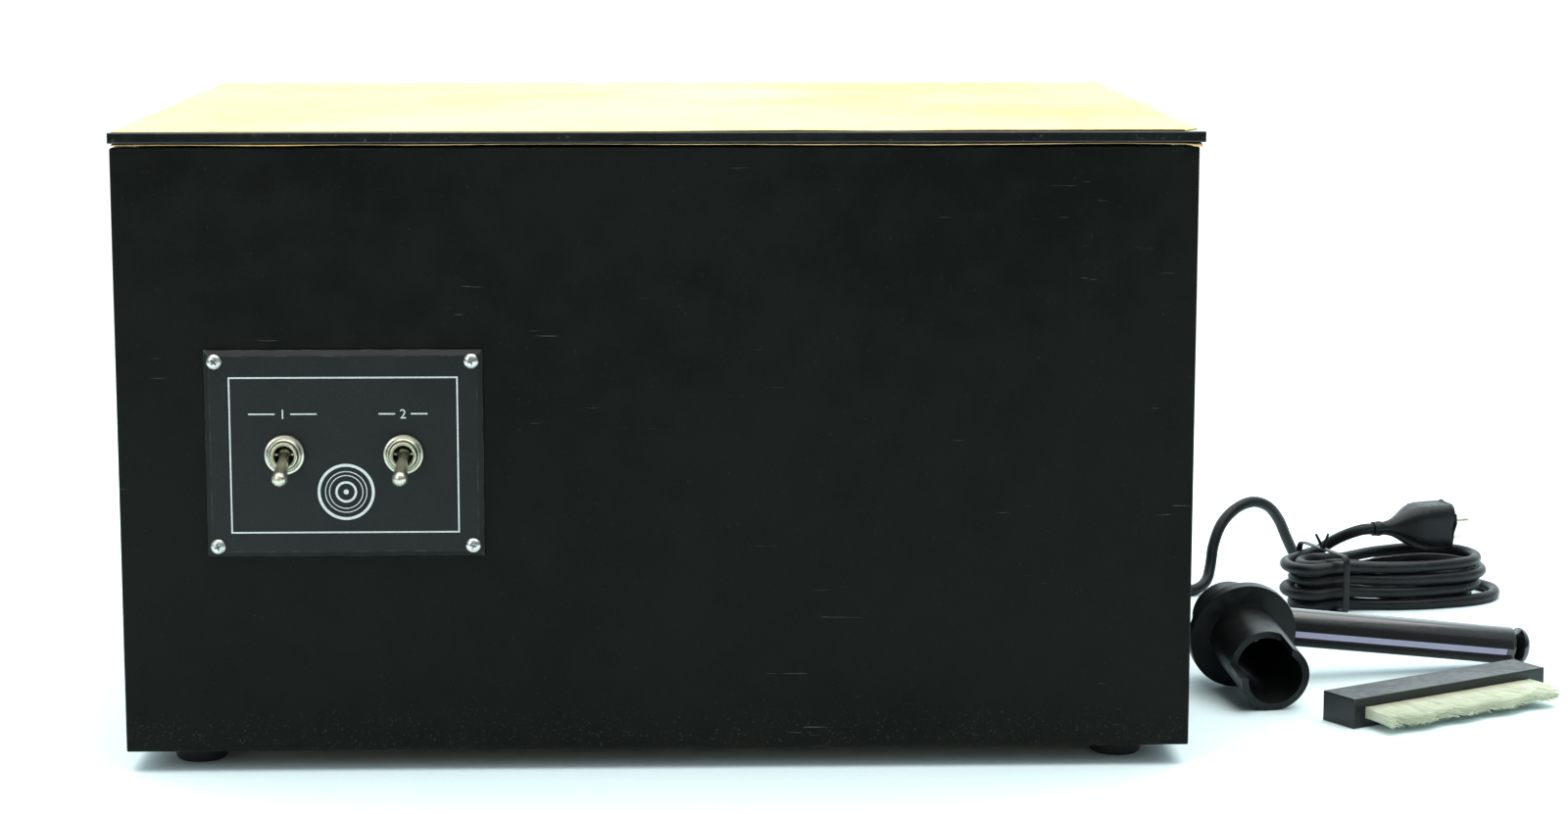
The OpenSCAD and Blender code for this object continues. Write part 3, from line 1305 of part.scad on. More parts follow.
module brush_bristles() {
    nx = bristle_cols;
    nz = bristle_rows;
    wx = bristle_w / nx;
    wz = bristle_h / nz;
    grid_n = (nx + 1) * (nz + 1);
    grid = [for (j = [0:nz], i = [0:nx]) [bristle_left + i * wx, 0, bristle_low + j * wz]];
    back = [for (p = [[0, 0], [bristle_w, 0], [bristle_w, bristle_h], [0, bristle_h]])
        [bristle_left + p[0], backing_t, bristle_low + p[1]]];
    middle = [for (j = [0:nz - 1], i = [0:nx - 1]) let (c = [bristle_left + (i + 0.35) * wx, 0,
        bristle_low + (j + 0.35) * wz], d = bristle_shift((i + 0.5) / nx, (j + 0.5) / nz, 0.55))
        each [c + d + [-0.28 * wx, 0, -0.28 * wz], c + d + [0.5 * wx, 0, -0.28 * wz],
            c + d + [-0.28 * wx, 0, 0.5 * wz]]];
    tips = [for (j = [0:nz - 1], i = [0:nx - 1])
        [bristle_left + (i + 0.35) * wx, 0, bristle_low + (j + 0.35) * wz]
        + bristle_shift((i + 0.5) / nx, (j + 0.5) / nz, 1)];
    m0 = grid_n + 4;
    t0 = m0 + 3 * nx * nz;
    flat = [for (j = [0:nz - 1], i = [0:nx - 1]) let (g = j * (nx + 1) + i)
        [g + 1, g + nx + 1, g + nx + 2]];
    strands = [for (j = [0:nz - 1], i = [0:nx - 1]) let (g = j * (nx + 1) + i, q = j * nx + i,
        b = [g, g + 1, g + nx + 1], m = [for (k = [0:2]) m0 + 3 * q + k], t = t0 + q)
        each [for (k = [0:2]) let (l = (k + 1) % 3)
            each [[b[k], m[k], m[l]], [b[k], m[l], b[l]], [m[k], t, m[l]]]]];
    low = concat([grid_n + 1, grid_n], [for (i = [0:nx]) i]);
    high = concat([grid_n + 3, grid_n + 2], [for (i = [nx:-1:0]) nz * (nx + 1) + i]);
    left = concat([grid_n, grid_n + 3], [for (j = [nz:-1:0]) j * (nx + 1)]);
    right = concat([grid_n + 2, grid_n + 1], [for (j = [0:nz]) j * (nx + 1) + nx]);
    rear = [for (k = [0:3]) grid_n + k];
    color([0.9, 0.9, 0.8]) lay_brush()
        polyhedron(concat(grid, back, middle, tips), concat(flat, strands, [low, high, left, right, rear]));
}

front_board();
back_board();
side_board(-1);  // left_board
side_board(1);  // right_board
bottom_board();
deck_cleats();
deck();
case_screws();
feet();
vent_grille();
lid();
lid_top_paper();
lid_under_paper();
lid_bumpers();
hinge_lid_leaves();
hinge_case_leaves();
hinge_pins();
hinge_lid_screws();
control_panel();
panel_screws();
motor_switch();
vacuum_switch();
motor_switch_lever();
vacuum_switch_lever();
switch_nuts();
platter();
platter_mat();
drive_shaft();
shaft_bearing();
record_clamp();
shaft_gear();
idler_gear();
motor_pinion();
gear_frame();
platter_motor();
tube_socket();
socket_hose();
waste_tank();
tank_lid();
vacuum_hose();
vacuum_motor();
vacuum_fan();
drain_cap();
terminal_block();
wiring();
strain_relief();
power_cord_lead();
power_cord_hank();
power_cord_tail();
plug_body();
plug_blades();
cord_tie();
suction_pipe();
suction_arm();
arm_cap();
suction_lips();
brush_block();
brush_bristles();
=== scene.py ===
"""Looks of a record cleaning machine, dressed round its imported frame: the closed cabinet with its
stained paper-covered lid and its switch panel, and beside it the suction tube, the brush and the
tied mains cord. Lengths are metres, unless a name says otherwise."""

import json
import math
import random

import bmesh
import bpy
from mathutils import Matrix, Vector, noise


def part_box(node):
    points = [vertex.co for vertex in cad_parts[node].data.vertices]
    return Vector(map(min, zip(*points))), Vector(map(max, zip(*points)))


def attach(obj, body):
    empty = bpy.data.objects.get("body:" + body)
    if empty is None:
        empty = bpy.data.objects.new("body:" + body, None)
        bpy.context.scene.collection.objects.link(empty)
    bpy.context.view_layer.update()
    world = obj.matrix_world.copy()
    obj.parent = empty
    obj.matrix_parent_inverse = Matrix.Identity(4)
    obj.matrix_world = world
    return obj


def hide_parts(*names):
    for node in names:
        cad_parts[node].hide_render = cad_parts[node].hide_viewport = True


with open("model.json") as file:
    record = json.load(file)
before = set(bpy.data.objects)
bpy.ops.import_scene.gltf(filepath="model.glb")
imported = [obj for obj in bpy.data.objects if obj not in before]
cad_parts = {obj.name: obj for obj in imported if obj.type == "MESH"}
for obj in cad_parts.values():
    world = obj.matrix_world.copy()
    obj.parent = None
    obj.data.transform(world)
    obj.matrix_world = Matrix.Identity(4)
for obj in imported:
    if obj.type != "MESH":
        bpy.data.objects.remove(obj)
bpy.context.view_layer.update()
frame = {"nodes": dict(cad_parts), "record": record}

MM = 0.001
random.seed(11)


# Camera, where the photographer stood

CAMERA_AT = (8.5 * MM, -1627.1 * MM, 385.6 * MM)
CAMERA_YAW = math.radians(1.836)
CAMERA_PITCH = math.radians(8.784)
CAMERA_ROLL = math.radians(0.05)
LENS_MM = 76.86
SENSOR_MM = 36


def place_camera():
    data = bpy.data.cameras.new("camera")
    data.lens = LENS_MM
    data.sensor_width = SENSOR_MM
    data.clip_start = 0.01
    camera = bpy.data.objects.new("camera", data)
    turned = Matrix.Rotation(-CAMERA_YAW, 4, "Z") @ Matrix.Rotation(math.pi / 2 - CAMERA_PITCH, 4, "X")
    camera.matrix_world = Matrix.Translation(CAMERA_AT) @ turned @ Matrix.Rotation(CAMERA_ROLL, 4, "Z")
    bpy.context.scene.collection.objects.link(camera)
    bpy.context.scene.camera = camera


# Shader helpers

def add(tree, kind, takes=None, **settings):
    """A node of this kind with its settings made, and its inputs linked or set."""
    made = tree.nodes.new("ShaderNode" + kind)
    for key, value in settings.items():
        setattr(made, key, value)
    for key, value in (takes or {}).items():
        if isinstance(value, bpy.types.NodeSocket):
            tree.links.new(value, made.inputs[key])
        else:
            made.inputs[key].default_value = value
    return made


def maths(tree, operation, first, second=0.0, third=0.0):
    made = add(tree, "Math", {0: first, 1: second, 2: third}, operation=operation)
    return made.outputs[0]


def between(tree, value, low, high, to_low=0.0, to_high=1.0):
    """The value's place between low and high, smoothly, as a number from to_low to to_high."""
    made = add(tree, "MapRange", {"Value": value, "From Min": low, "From Max": high,
                                  "To Min": to_low, "To Max": to_high},
               interpolation_type="SMOOTHSTEP")
    return made.outputs["Result"]


def blend_colours(tree, share, first, second, mode="MIX"):
    made = add(tree, "Mix", {0: share, 6: first, 7: second}, data_type="RGBA", blend_type=mode)
    return made.outputs[2]


def object_place(tree, scale=(1, 1, 1), turned=(0, 0, 0), moved=(0, 0, 0)):
    """Object coordinates, moved, turned and stretched by a Mapping node."""
    here = add(tree, "TexCoord").outputs["Object"]
    if scale == (1, 1, 1) and turned == (0, 0, 0) and moved == (0, 0, 0):
        return here
    return add(tree, "Mapping", {"Vector": here, "Location": moved, "Rotation": turned,
                                 "Scale": scale}).outputs["Vector"]


def new_group(name, takes, gives):
    """An empty node group with named inputs and outputs. A None input is a vector."""
    tree = bpy.data.node_groups.new(name, "ShaderNodeTree")
    for label, value in takes.items():
        kind = "NodeSocketVector" if value is None else "NodeSocketFloat"
        made = tree.interface.new_socket(name=label, in_out="INPUT", socket_type=kind)
        if value is not None:
            made.default_value = value
    for label, kind in gives.items():
        tree.interface.new_socket(name=label, in_out="OUTPUT", socket_type=kind)
    return tree, tree.nodes.new("NodeGroupInput").outputs, tree.nodes.new("NodeGroupOutput").inputs


def use_group(tree, group, **takes):
    made = tree.nodes.new("ShaderNodeGroup")
    made.node_tree = group
    for key, value in takes.items():
        label = key.capitalize()
        if isinstance(value, bpy.types.NodeSocket):
            tree.links.new(value, made.inputs[label])
        else:
            made.inputs[label].default_value = value
    return made.outputs


def new_material(name):
    """A material, its tree, its shader's inputs."""
    made = bpy.data.materials.new(name)
    made.use_nodes = True
    return made, made.node_tree, made.node_tree.nodes["Principled BSDF"].inputs


# Effects that several finishes share

def make_grain():
    """Fine pebbled grain: its height and the few cells that catch the light."""
    tree, takes, gives = new_group("fine_grain", {"Place": None, "Scale": 1000.0},
                                   {"Height": "NodeSocketFloat", "Speck": "NodeSocketFloat"})
    pebbles = add(tree, "TexNoise", {"Vector": takes["Place"], "Scale": takes["Scale"],
                                     "Detail": 3.0, "Roughness": 0.6}).outputs["Fac"]
    wide = maths(tree, "MULTIPLY", takes["Scale"], 0.31)
    rolls = add(tree, "TexNoise", {"Vector": takes["Place"], "Scale": wide, "Detail": 2.0}).outputs["Fac"]
    height = maths(tree, "MULTIPLY_ADD", rolls, 0.5, pebbles)
    tree.links.new(height, gives["Height"])
    tree.links.new(between(tree, pebbles, 0.62, 0.78), gives["Speck"])
    return tree


def make_smudges():
    """Handled patches: broad clouds broken up by a finer one, from 0 to 1."""
    tree, takes, gives = new_group("smudges", {"Place": None, "Scale": 12.0}, {"Mask": "NodeSocketFloat"})
    broad = add(tree, "TexNoise", {"Vector": takes["Place"], "Scale": takes["Scale"], "Detail": 4.0,
                                   "Roughness": 0.62, "Distortion": 0.6}).outputs["Fac"]
    near = maths(tree, "MULTIPLY", takes["Scale"], 9.0)
    fine = add(tree, "TexNoise", {"Vector": takes["Place"], "Scale": near, "Detail": 3.0}).outputs["Fac"]
    mixed = maths(tree, "MULTIPLY_ADD", fine, 0.35, maths(tree, "MULTIPLY", broad, 0.65))
    tree.links.new(between(tree, mixed, 0.38, 0.62), gives["Mask"])
    return tree


def make_edge_wear_and_glint():
    """Rounded light on sharp edges, and a chipped mask along them: rubbed wear, and on some finishes a painted
    edge highlight.
    """
    tree, takes, gives = new_group("edge_wear_and_glint", {"Place": None, "Radius": 0.0005, "Ragged": 150.0},
                                   {"Mask": "NodeSocketFloat", "Normal": "NodeSocketVector"})
    rounded = add(tree, "Bevel", {"Radius": takes["Radius"]}, samples=4).outputs["Normal"]
    flat = add(tree, "NewGeometry").outputs["Normal"]
    facing = add(tree, "VectorMath", {0: rounded, 1: flat}, operation="DOT_PRODUCT").outputs["Value"]
    edge = between(tree, facing, 0.995, 0.85)
    chips = add(tree, "TexNoise", {"Vector": takes["Place"], "Scale": takes["Ragged"],
                                   "Detail": 4.0}).outputs["Fac"]
    tree.links.new(maths(tree, "MULTIPLY", edge, between(tree, chips, 0.45, 0.65)), gives["Mask"])
    tree.links.new(rounded, gives["Normal"])
    return tree


def make_scratches():
    """Thin straight scratches in one direction, from 0 to 1."""
    tree, takes, gives = new_group("scratches", {"Place": None, "Scale": 30.0, "Rare": 0.7},
                                   {"Mask": "NodeSocketFloat"})
    stretched = add(tree, "Mapping", {"Vector": takes["Place"], "Scale": (1.0, 1.0, 24.0),
                                      "Rotation": (0.0, 0.22, 0.0)}).outputs["Vector"]
    lines = add(tree, "TexNoise", {"Vector": stretched, "Scale": takes["Scale"], "Detail": 2.0,
                                   "Distortion": 0.3}).outputs["Fac"]
    patches = add(tree, "TexNoise", {"Vector": takes["Place"], "Scale": 9.0}).outputs["Fac"]
    fine = between(tree, lines, takes["Rare"], maths(tree, "ADD", takes["Rare"], 0.05))
    tree.links.new(maths(tree, "MULTIPLY", fine, between(tree, patches, 0.45, 0.6)), gives["Mask"])
    return tree


def make_wood_grain():
    """Growth lines along X with pores, as a mask from 0 to 1."""
    tree, takes, gives = new_group("wood_grain", {"Place": None, "Scale": 60.0}, {"Mask": "NodeSocketFloat"})
    long = add(tree, "Mapping", {"Vector": takes["Place"], "Scale": (0.08, 1.0, 1.0)}).outputs["Vector"]
    rings = add(tree, "TexNoise", {"Vector": long, "Scale": takes["Scale"], "Detail": 5.0,
                                   "Distortion": 0.8}).outputs["Fac"]
    tree.links.new(between(tree, rings, 0.3, 0.7), gives["Mask"])
    return tree


GRAIN = make_grain()
SMUDGES = make_smudges()
EDGE_WEAR_AND_GLINT = make_edge_wear_and_glint()
SCRATCHES = make_scratches()
WOOD_GRAIN = make_wood_grain()


# Finishes

def finish(name, colour, mottle, gloss, grain, edge, wear_and_glint=None, metal=0.0, coat=0.0, smudge_scale=12.0,
           shine=0.5):
    """A hard finish: mottled colour, uneven gloss, fine grain with painted glints on a few of its cells, and
    softened, rubbed edges. gloss is the roughness from clean to smudged, grain its cells a metre and their
    height, and edge the radius of the softened edges with the share of them that takes the edge colour: wear on
    most finishes, a painted highlight on some."""
    made, tree, shader = new_material(name)
    here = object_place(tree)
    smudge = use_group(tree, SMUDGES, place=here, scale=smudge_scale)["Mask"]
    pebbles = use_group(tree, GRAIN, place=here, scale=grain[0])
    edges = use_group(tree, EDGE_WEAR_AND_GLINT, place=here, radius=edge[0])
    colours = blend_colours(tree, smudge, (*colour, 1), (*mottle, 1))
    wear_and_glint_colour = (*(wear_and_glint or mottle), 1)
    # Painted glints: a few grain cells are lightened towards the edge colour.
    painted_grain_glints = maths(tree, "MULTIPLY", pebbles["Speck"], 0.3)
    colours = blend_colours(tree, painted_grain_glints, colours, wear_and_glint_colour)
    # The edge colour is rubbed wear on most finishes, and a painted highlight on the lid's acrylic and on the
    # panel.
    edge_wear_and_glint = maths(tree, "MULTIPLY", edges["Mask"], edge[1])
    colours = blend_colours(tree, edge_wear_and_glint, colours, wear_and_glint_colour)
    bump = add(tree, "Bump", {"Height": pebbles["Height"], "Distance": grain[1], "Strength": 1.0,
                              "Normal": edges["Normal"]}).outputs["Normal"]
    tree.links.new(colours, shader["Base Color"])
    tree.links.new(between(tree, smudge, 0.0, 1.0, gloss[0], gloss[1]), shader["Roughness"])
    tree.links.new(bump, shader["Normal"])
    shader["Metallic"].default_value = metal
    shader["Coat Weight"].default_value = coat
    shader["Coat Roughness"].default_value = 0.08
    shader["Specular IOR Level"].default_value = shine
    return made


def colour_input(tree, shader):
    """What feeds the base colour now, to be worked on further."""
    return shader["Base Color"].links[0].from_socket


def within(tree, value, low, high, soft):
    """1 where the value lies from low to high, with soft borders."""
    rise = between(tree, value, low - soft, low + soft)
    fall = between(tree, value, high - soft, high + soft, 1.0, 0.0)
    return maths(tree, "MULTIPLY", rise, fall)


def cabinet_vinyl():
    """Black vinyl film: low sheen, scuffs low on the front, and a speckled pale bluish band by the bottom edge,
    which is a painted reflection of the floor.
    """
    made = finish("cabinet_vinyl", (0.0032, 0.004, 0.003), (0.0055, 0.0064, 0.005), (0.42, 0.54),
                  (900.0, 0.00006), (0.0011, 0.6), (0.05, 0.06, 0.062), smudge_scale=7.0, shine=0.08)
    tree = made.node_tree
    shader = tree.nodes["Principled BSDF"].inputs
    here = object_place(tree)
    parts = add(tree, "SeparateXYZ", {0: here}).outputs
    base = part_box("front_board")[0]
    low = within(tree, parts["Z"], base.z + 12 * MM, base.z + 75 * MM, 14 * MM)
    middle = within(tree, parts["X"], -150 * MM, 60 * MM, 40 * MM)
    scratches = use_group(tree, SCRATCHES, place=here, scale=55.0, rare=0.66)["Mask"]
    scuffs = maths(tree, "MULTIPLY", scratches, maths(tree, "MULTIPLY", low, middle))
    colours = blend_colours(tree, maths(tree, "MULTIPLY", scuffs, 0.55), colour_input(tree, shader),
                            (0.004, 0.004, 0.004, 1))
    rare = use_group(tree, SCRATCHES, place=object_place(tree, moved=(0.31, 0.2, 0.12)), scale=38.0,
                     rare=0.74)["Mask"]
    colours = blend_colours(tree, maths(tree, "MULTIPLY", rare, 0.5), colours, (0.12, 0.125, 0.115, 1))
    # Painted reflection: a speckled pale bluish band along the bottom edge, where the bright floor would
    # reflect.
    band_speckle = add(tree, "TexNoise", {"Vector": here, "Scale": 900.0, "Detail": 3.0}).outputs["Fac"]
    bottom_band = within(tree, parts["Z"], base.z - 2 * MM, base.z + 15 * MM, 8 * MM)
    painted_floor_reflection = maths(tree, "MULTIPLY", bottom_band, between(tree, band_speckle, 0.58, 0.72))
    colours = blend_colours(tree, maths(tree, "MULTIPLY", painted_floor_reflection, 0.2), colours, (0.07, 0.08, 0.08, 1))
    tree.links.new(colours, shader["Base Color"])
    return made


def spot(tree, centre, reach, ragged=0.45):
    """A soft stain with a ragged border: 1 at its centre, 0 from reach outwards. Both are (x, y)."""
    scale = (1 / reach[0], 1 / reach[1], 0)
    moved = (-centre[0] / reach[0], -centre[1] / reach[1], 0)
    here = object_place(tree, scale=scale, moved=moved)
    far = add(tree, "VectorMath", {0: here}, operation="LENGTH").outputs["Value"]
    clouds = add(tree, "TexNoise", {"Vector": object_place(tree), "Scale": 42.0, "Detail": 5.0,
                                    "Roughness": 0.65}).outputs["Fac"]
    broken = maths(tree, "MULTIPLY_ADD", clouds, -2 * ragged, maths(tree, "ADD", far, ragged))
    return between(tree, broken, 0.35, 1.05, 1.0, 0.0)


def top_masking_paper():
    """Cream protective paper, tan where it is worn, with the smears of dried fluid and a grey damp patch."""
    made, tree, shader = new_material("top_masking_paper")
    here = object_place(tree)
    clouds = use_group(tree, SMUDGES, place=here, scale=5.0)["Mask"]
    fibres = add(tree, "TexNoise", {"Vector": object_place(tree, scale=(1.0, 3.0, 1.0)), "Scale": 420.0,
                                    "Detail": 5.0}).outputs["Fac"]
    parts = add(tree, "SeparateXYZ", {0: here}).outputs
    colours = blend_colours(tree, clouds, (0.82, 0.73, 0.215, 1), (0.8, 0.69, 0.18, 1))
    to_right = between(tree, parts["X"], -0.02, 0.2)
    tan = maths(tree, "MULTIPLY", to_right, between(tree, clouds, 0.1, 0.9, 0.35, 0.95))
    colours = blend_colours(tree, tan, colours, (0.7, 0.53, 0.14, 1))
    colours = blend_colours(tree, maths(tree, "MULTIPLY", spot(tree, (-0.06, 0.07), (0.09, 0.08)), 0.45),
                            colours, (0.5, 0.36, 0.14, 1))
    colours = blend_colours(tree, maths(tree, "MULTIPLY", spot(tree, (0.035, 0.075), (0.065, 0.05)), 0.5),
                            colours, (0.48, 0.48, 0.3, 1))
    for centre, reach, share in (((-0.09, 0.03), (0.03, 0.06), 0.3), ((0.1, 0.045), (0.045, 0.05), 0.6),
                                 ((0.13, 0.12), (0.09, 0.035), 0.4), ((-0.14, 0.11), (0.09, 0.06), 0.3),
                                 ((0.17, -0.06), (0.06, 0.07), 0.3), ((-0.17, -0.09), (0.05, 0.07), 0.2)):
        stain = maths(tree, "MULTIPLY", spot(tree, centre, reach), share)
        colours = blend_colours(tree, stain, colours, (0.3, 0.2, 0.08, 1))
    torn = add(tree, "Attribute", attribute_name="torn").outputs["Fac"]
    colours = blend_colours(tree, torn, colours, (0.36, 0.2, 0.06, 1))
    colours = blend_colours(tree, between(tree, fibres, 0.35, 0.65, 0.0, 0.12), colours, (0.95, 0.9, 0.72, 1))
    tree.links.new(colours, shader["Base Color"])
    tree.links.new(between(tree, clouds, 0.0, 1.0, 0.62, 0.78), shader["Roughness"])
    bump = add(tree, "Bump", {"Height": fibres, "Distance": 0.00004}).outputs["Normal"]
    tree.links.new(bump, shader["Normal"])
    return made


def under_masking_paper():
    """Tan paper under the lid, glossier where its glue shows through."""
    made, tree, shader = new_material("under_masking_paper")
    here = object_place(tree)
    clouds = use_group(tree, SMUDGES, place=here, scale=8.0)["Mask"]
    fibres = add(tree, "TexNoise", {"Vector": object_place(tree, scale=(1.0, 3.0, 1.0)), "Scale": 400.0,
                                    "Detail": 5.0}).outputs["Fac"]
    torn = add(tree, "Attribute", attribute_name="torn").outputs["Fac"]
    colours = blend_colours(tree, clouds, (0.6, 0.42, 0.17, 1), (0.5, 0.33, 0.12, 1))
    colours = blend_colours(tree, maths(tree, "MULTIPLY", torn, 0.6), colours, (0.78, 0.55, 0.2, 1))
    colours = blend_colours(tree, between(tree, fibres, 0.35, 0.65, 0.0, 0.2), colours, (0.7, 0.55, 0.3, 1))
    tree.links.new(colours, shader["Base Color"])
    tree.links.new(between(tree, clouds, 0.0, 1.0, 0.5, 0.72), shader["Roughness"])
    bump = add(tree, "Bump", {"Height": fibres, "Distance": 0.00005}).outputs["Normal"]
    tree.links.new(bump, shader["Normal"])
    return made


def wood(name, light, dark, scale, rough):
    """Planed or pressed wood with its grain along X."""
    made, tree, shader = new_material(name)
    here = object_place(tree)
    rings = use_group(tree, WOOD_GRAIN, place=here, scale=scale)["Mask"]
    edges = use_group(tree, EDGE_WEAR_AND_GLINT, place=here, radius=0.0004)
    tree.links.new(blend_colours(tree, rings, (*light, 1), (*dark, 1)), shader["Base Color"])
    tree.links.new(between(tree, rings, 0.0, 1.0, rough - 0.08, rough + 0.08), shader["Roughness"])
    bump = add(tree, "Bump", {"Height": rings, "Distance": 0.00012,
                              "Normal": edges["Normal"]}).outputs["Normal"]
    tree.links.new(bump, shader["Normal"])
    return made


def cork():
    """Cork granules of several browns, with dark gaps between them."""
    made, tree, shader = new_material("cork")
    here = object_place(tree)
    warped = add(tree, "TexNoise", {"Vector": here, "Scale": 500.0, "Detail": 2.0}).outputs["Color"]
    lifted = add(tree, "VectorMath", {0: warped, 1: (0.0012, 0.0012, 0.0012)},
                 operation="MULTIPLY").outputs[0]
    bent = add(tree, "VectorMath", {0: here, 1: lifted}, operation="ADD").outputs[0]
    granules = add(tree, "TexVoronoi", {"Vector": bent, "Scale": 420.0})
    tone = add(tree, "SeparateColor", {0: granules.outputs["Color"]}).outputs[0]
    gaps = add(tree, "TexVoronoi", {"Vector": bent, "Scale": 420.0},
               feature="DISTANCE_TO_EDGE").outputs["Distance"]
    ramp = add(tree, "ValToRGB", {0: tone})
    stops = ramp.color_ramp.elements
    stops[0].color = (0.17, 0.085, 0.03, 1)
    stops[1].color = (0.55, 0.36, 0.17, 1)
    stops.new(0.4).color = (0.36, 0.2, 0.08, 1)
    stops.new(0.75).color = (0.46, 0.28, 0.12, 1)
    depth = between(tree, gaps, 0.0, 0.09)
    tree.links.new(blend_colours(tree, depth, (0.07, 0.035, 0.015, 1), ramp.outputs["Color"]),
                   shader["Base Color"])
    tree.links.new(between(tree, tone, 0.0, 1.0, 0.72, 0.9), shader["Roughness"])
    bump = add(tree, "Bump", {"Height": depth, "Distance": 0.00025}).outputs["Normal"]
    tree.links.new(bump, shader["Normal"])
    return made


def velvet():
    """Short black pile: its fibres catch light at a glancing angle."""
    made, tree, shader = new_material("velvet_pile")
    here = object_place(tree)
    fibres = add(tree, "TexNoise", {"Vector": here, "Scale": 2600.0, "Detail": 3.0}).outputs["Fac"]
    tree.links.new(blend_colours(tree, fibres, (0.003, 0.003, 0.003, 1), (0.012, 0.012, 0.013, 1)),
                   shader["Base Color"])
    tree.links.new(between(tree, fibres, 0.3, 0.7, 0.85, 1.0), shader["Roughness"])
    bump = add(tree, "Bump", {"Height": fibres, "Distance": 0.0004}).outputs["Normal"]
    tree.links.new(bump, shader["Normal"])
    shader["Sheen Weight"].default_value = 0.35
    shader["Sheen Roughness"].default_value = 0.4
    shader["Specular IOR Level"].default_value = 0.15
    return made


def tube_gloss():
    """Polished black tube. Its inside is pale and faintly violet and glows with painted light, which shows
    through its slot.
    """
    made = finish("tube_gloss", (0.004, 0.004, 0.005), (0.007, 0.007, 0.008), (0.1, 0.22),
                  (500.0, 0.000004), (0.0003, 0.3), (0.05, 0.05, 0.055), coat=0.6, smudge_scale=25.0)
    tree = made.node_tree
    shader = tree.nodes["Principled BSDF"].inputs
    here = add(tree, "TexCoord").outputs["Object"]
    from_axis = add(tree, "VectorMath", {0: here, 1: tuple(ARM_FROM)}, operation="SUBTRACT").outputs[0]
    off_axis = add(tree, "VectorMath", {0: from_axis, 1: tuple(ARM_WAY)},
                   operation="CROSS_PRODUCT").outputs[0]
    radius = add(tree, "VectorMath", {0: off_axis}, operation="LENGTH").outputs["Value"]
    wall_middle = ARM_R - ARM_WALL / 2
    glowing_inside = between(tree, radius, wall_middle - 0.2 * MM, wall_middle + 0.2 * MM, 1.0, 0.0)
    reach = add(tree, "VectorMath", {0: from_axis, 1: tuple(ARM_WAY)},
                operation="DOT_PRODUCT").outputs["Value"]
    glowing_inside = maths(tree, "MULTIPLY", glowing_inside, between(tree, reach, ARM_LEN - CAP_LEN - 1.5 * MM,
                                                     ARM_LEN - CAP_LEN - 0.5 * MM, 1.0, 0.0))
    colours = blend_colours(tree, glowing_inside, colour_input(tree, shader), (0.84, 0.82, 0.92, 1))
    tree.links.new(colours, shader["Base Color"])
    # Painted light: the inside wall glows faintly, standing in for light inside the slot.
    tree.links.new(blend_colours(tree, glowing_inside, (0, 0, 0, 1), (0.68, 0.78, 0.9, 1)),
                   shader["Emission Color"])
    shader["Emission Strength"].default_value = 0.1
    return made


def clear_rubber():
    """Clear soft bumpers, a little cloudy."""
    made, tree, shader = new_material("clear_rubber")
    haze = use_group(tree, SMUDGES, place=object_place(tree), scale=90.0)["Mask"]
    tree.links.new(blend_colours(tree, haze, (0.86, 0.88, 0.88, 1), (0.78, 0.8, 0.76, 1)),
                   shader["Base Color"])
    tree.links.new(between(tree, haze, 0.0, 1.0, 0.12, 0.3), shader["Roughness"])
    shader["Transmission Weight"].default_value = 0.85
    shader["IOR"].default_value = 1.49
    return made


def bristles():
    """Pale bristles: each has its own tone, and painted shade darkens it towards its root."""
    made, tree, shader = new_material("pale_bristles")
    tone = add(tree, "Attribute", attribute_name="tone").outputs["Fac"]
    along = add(tree, "Attribute", attribute_name="along").outputs["Fac"]
    colours = blend_colours(tree, tone, (0.68, 0.73, 0.58, 1), (0.82, 0.86, 0.74, 1))
    # Painted shade: the root half of each bristle is darkened, standing in for the shadowed groove at the block.
    root = between(tree, along, 0.0, 0.45, 0.55, 0.0)
    colours = blend_colours(tree, root, colours, (0.3, 0.3, 0.2, 1))
    tree.links.new(colours, shader["Base Color"])
    tree.links.new(between(tree, tone, 0.0, 1.0, 0.35, 0.55), shader["Roughness"])
    shader["Subsurface Weight"].default_value = 0.15
    shader["Subsurface Scale"].default_value = 0.0006
    return made


def print_ink():
    """Screen-printed off-white ink, thin in places."""
    made, tree, shader = new_material("print_ink")
    here = object_place(tree)
    thin = add(tree, "TexNoise", {"Vector": here, "Scale": 2500.0, "Detail": 3.0}).outputs["Fac"]
    worn_through = between(tree, thin, 0.4, 0.7)
    tree.links.new(blend_colours(tree, worn_through, (0.62, 0.66, 0.64, 1), (0.42, 0.46, 0.45, 1)),
                   shader["Base Color"])
    tree.links.new(between(tree, thin, 0.3, 0.7, 0.45, 0.6), shader["Roughness"])
    return made


# Suction tube and brush: the places of their own frames, as in the solids

TUBE_AT = Vector((283, -38, 0)) * MM
TUBE_TURN = math.radians(9.4)
PIPE_R = 16.7 * MM
PIPE_LEN = 51 * MM
FLANGE_R = 26.7 * MM
FLANGE_T = 5 * MM
ARM_R = 9.5 * MM
ARM_WALL = 1.6 * MM
ARM_LEN = 157 * MM
ARM_BACK = 15 * MM
CAP_LEN = 9 * MM
SLOT_W = 3.4 * MM
SLOT_FROM = 30 * MM
SLOT_TO = ARM_LEN - CAP_LEN - 4 * MM
LIP_W = 5 * MM
LIP_T = 1.2 * MM


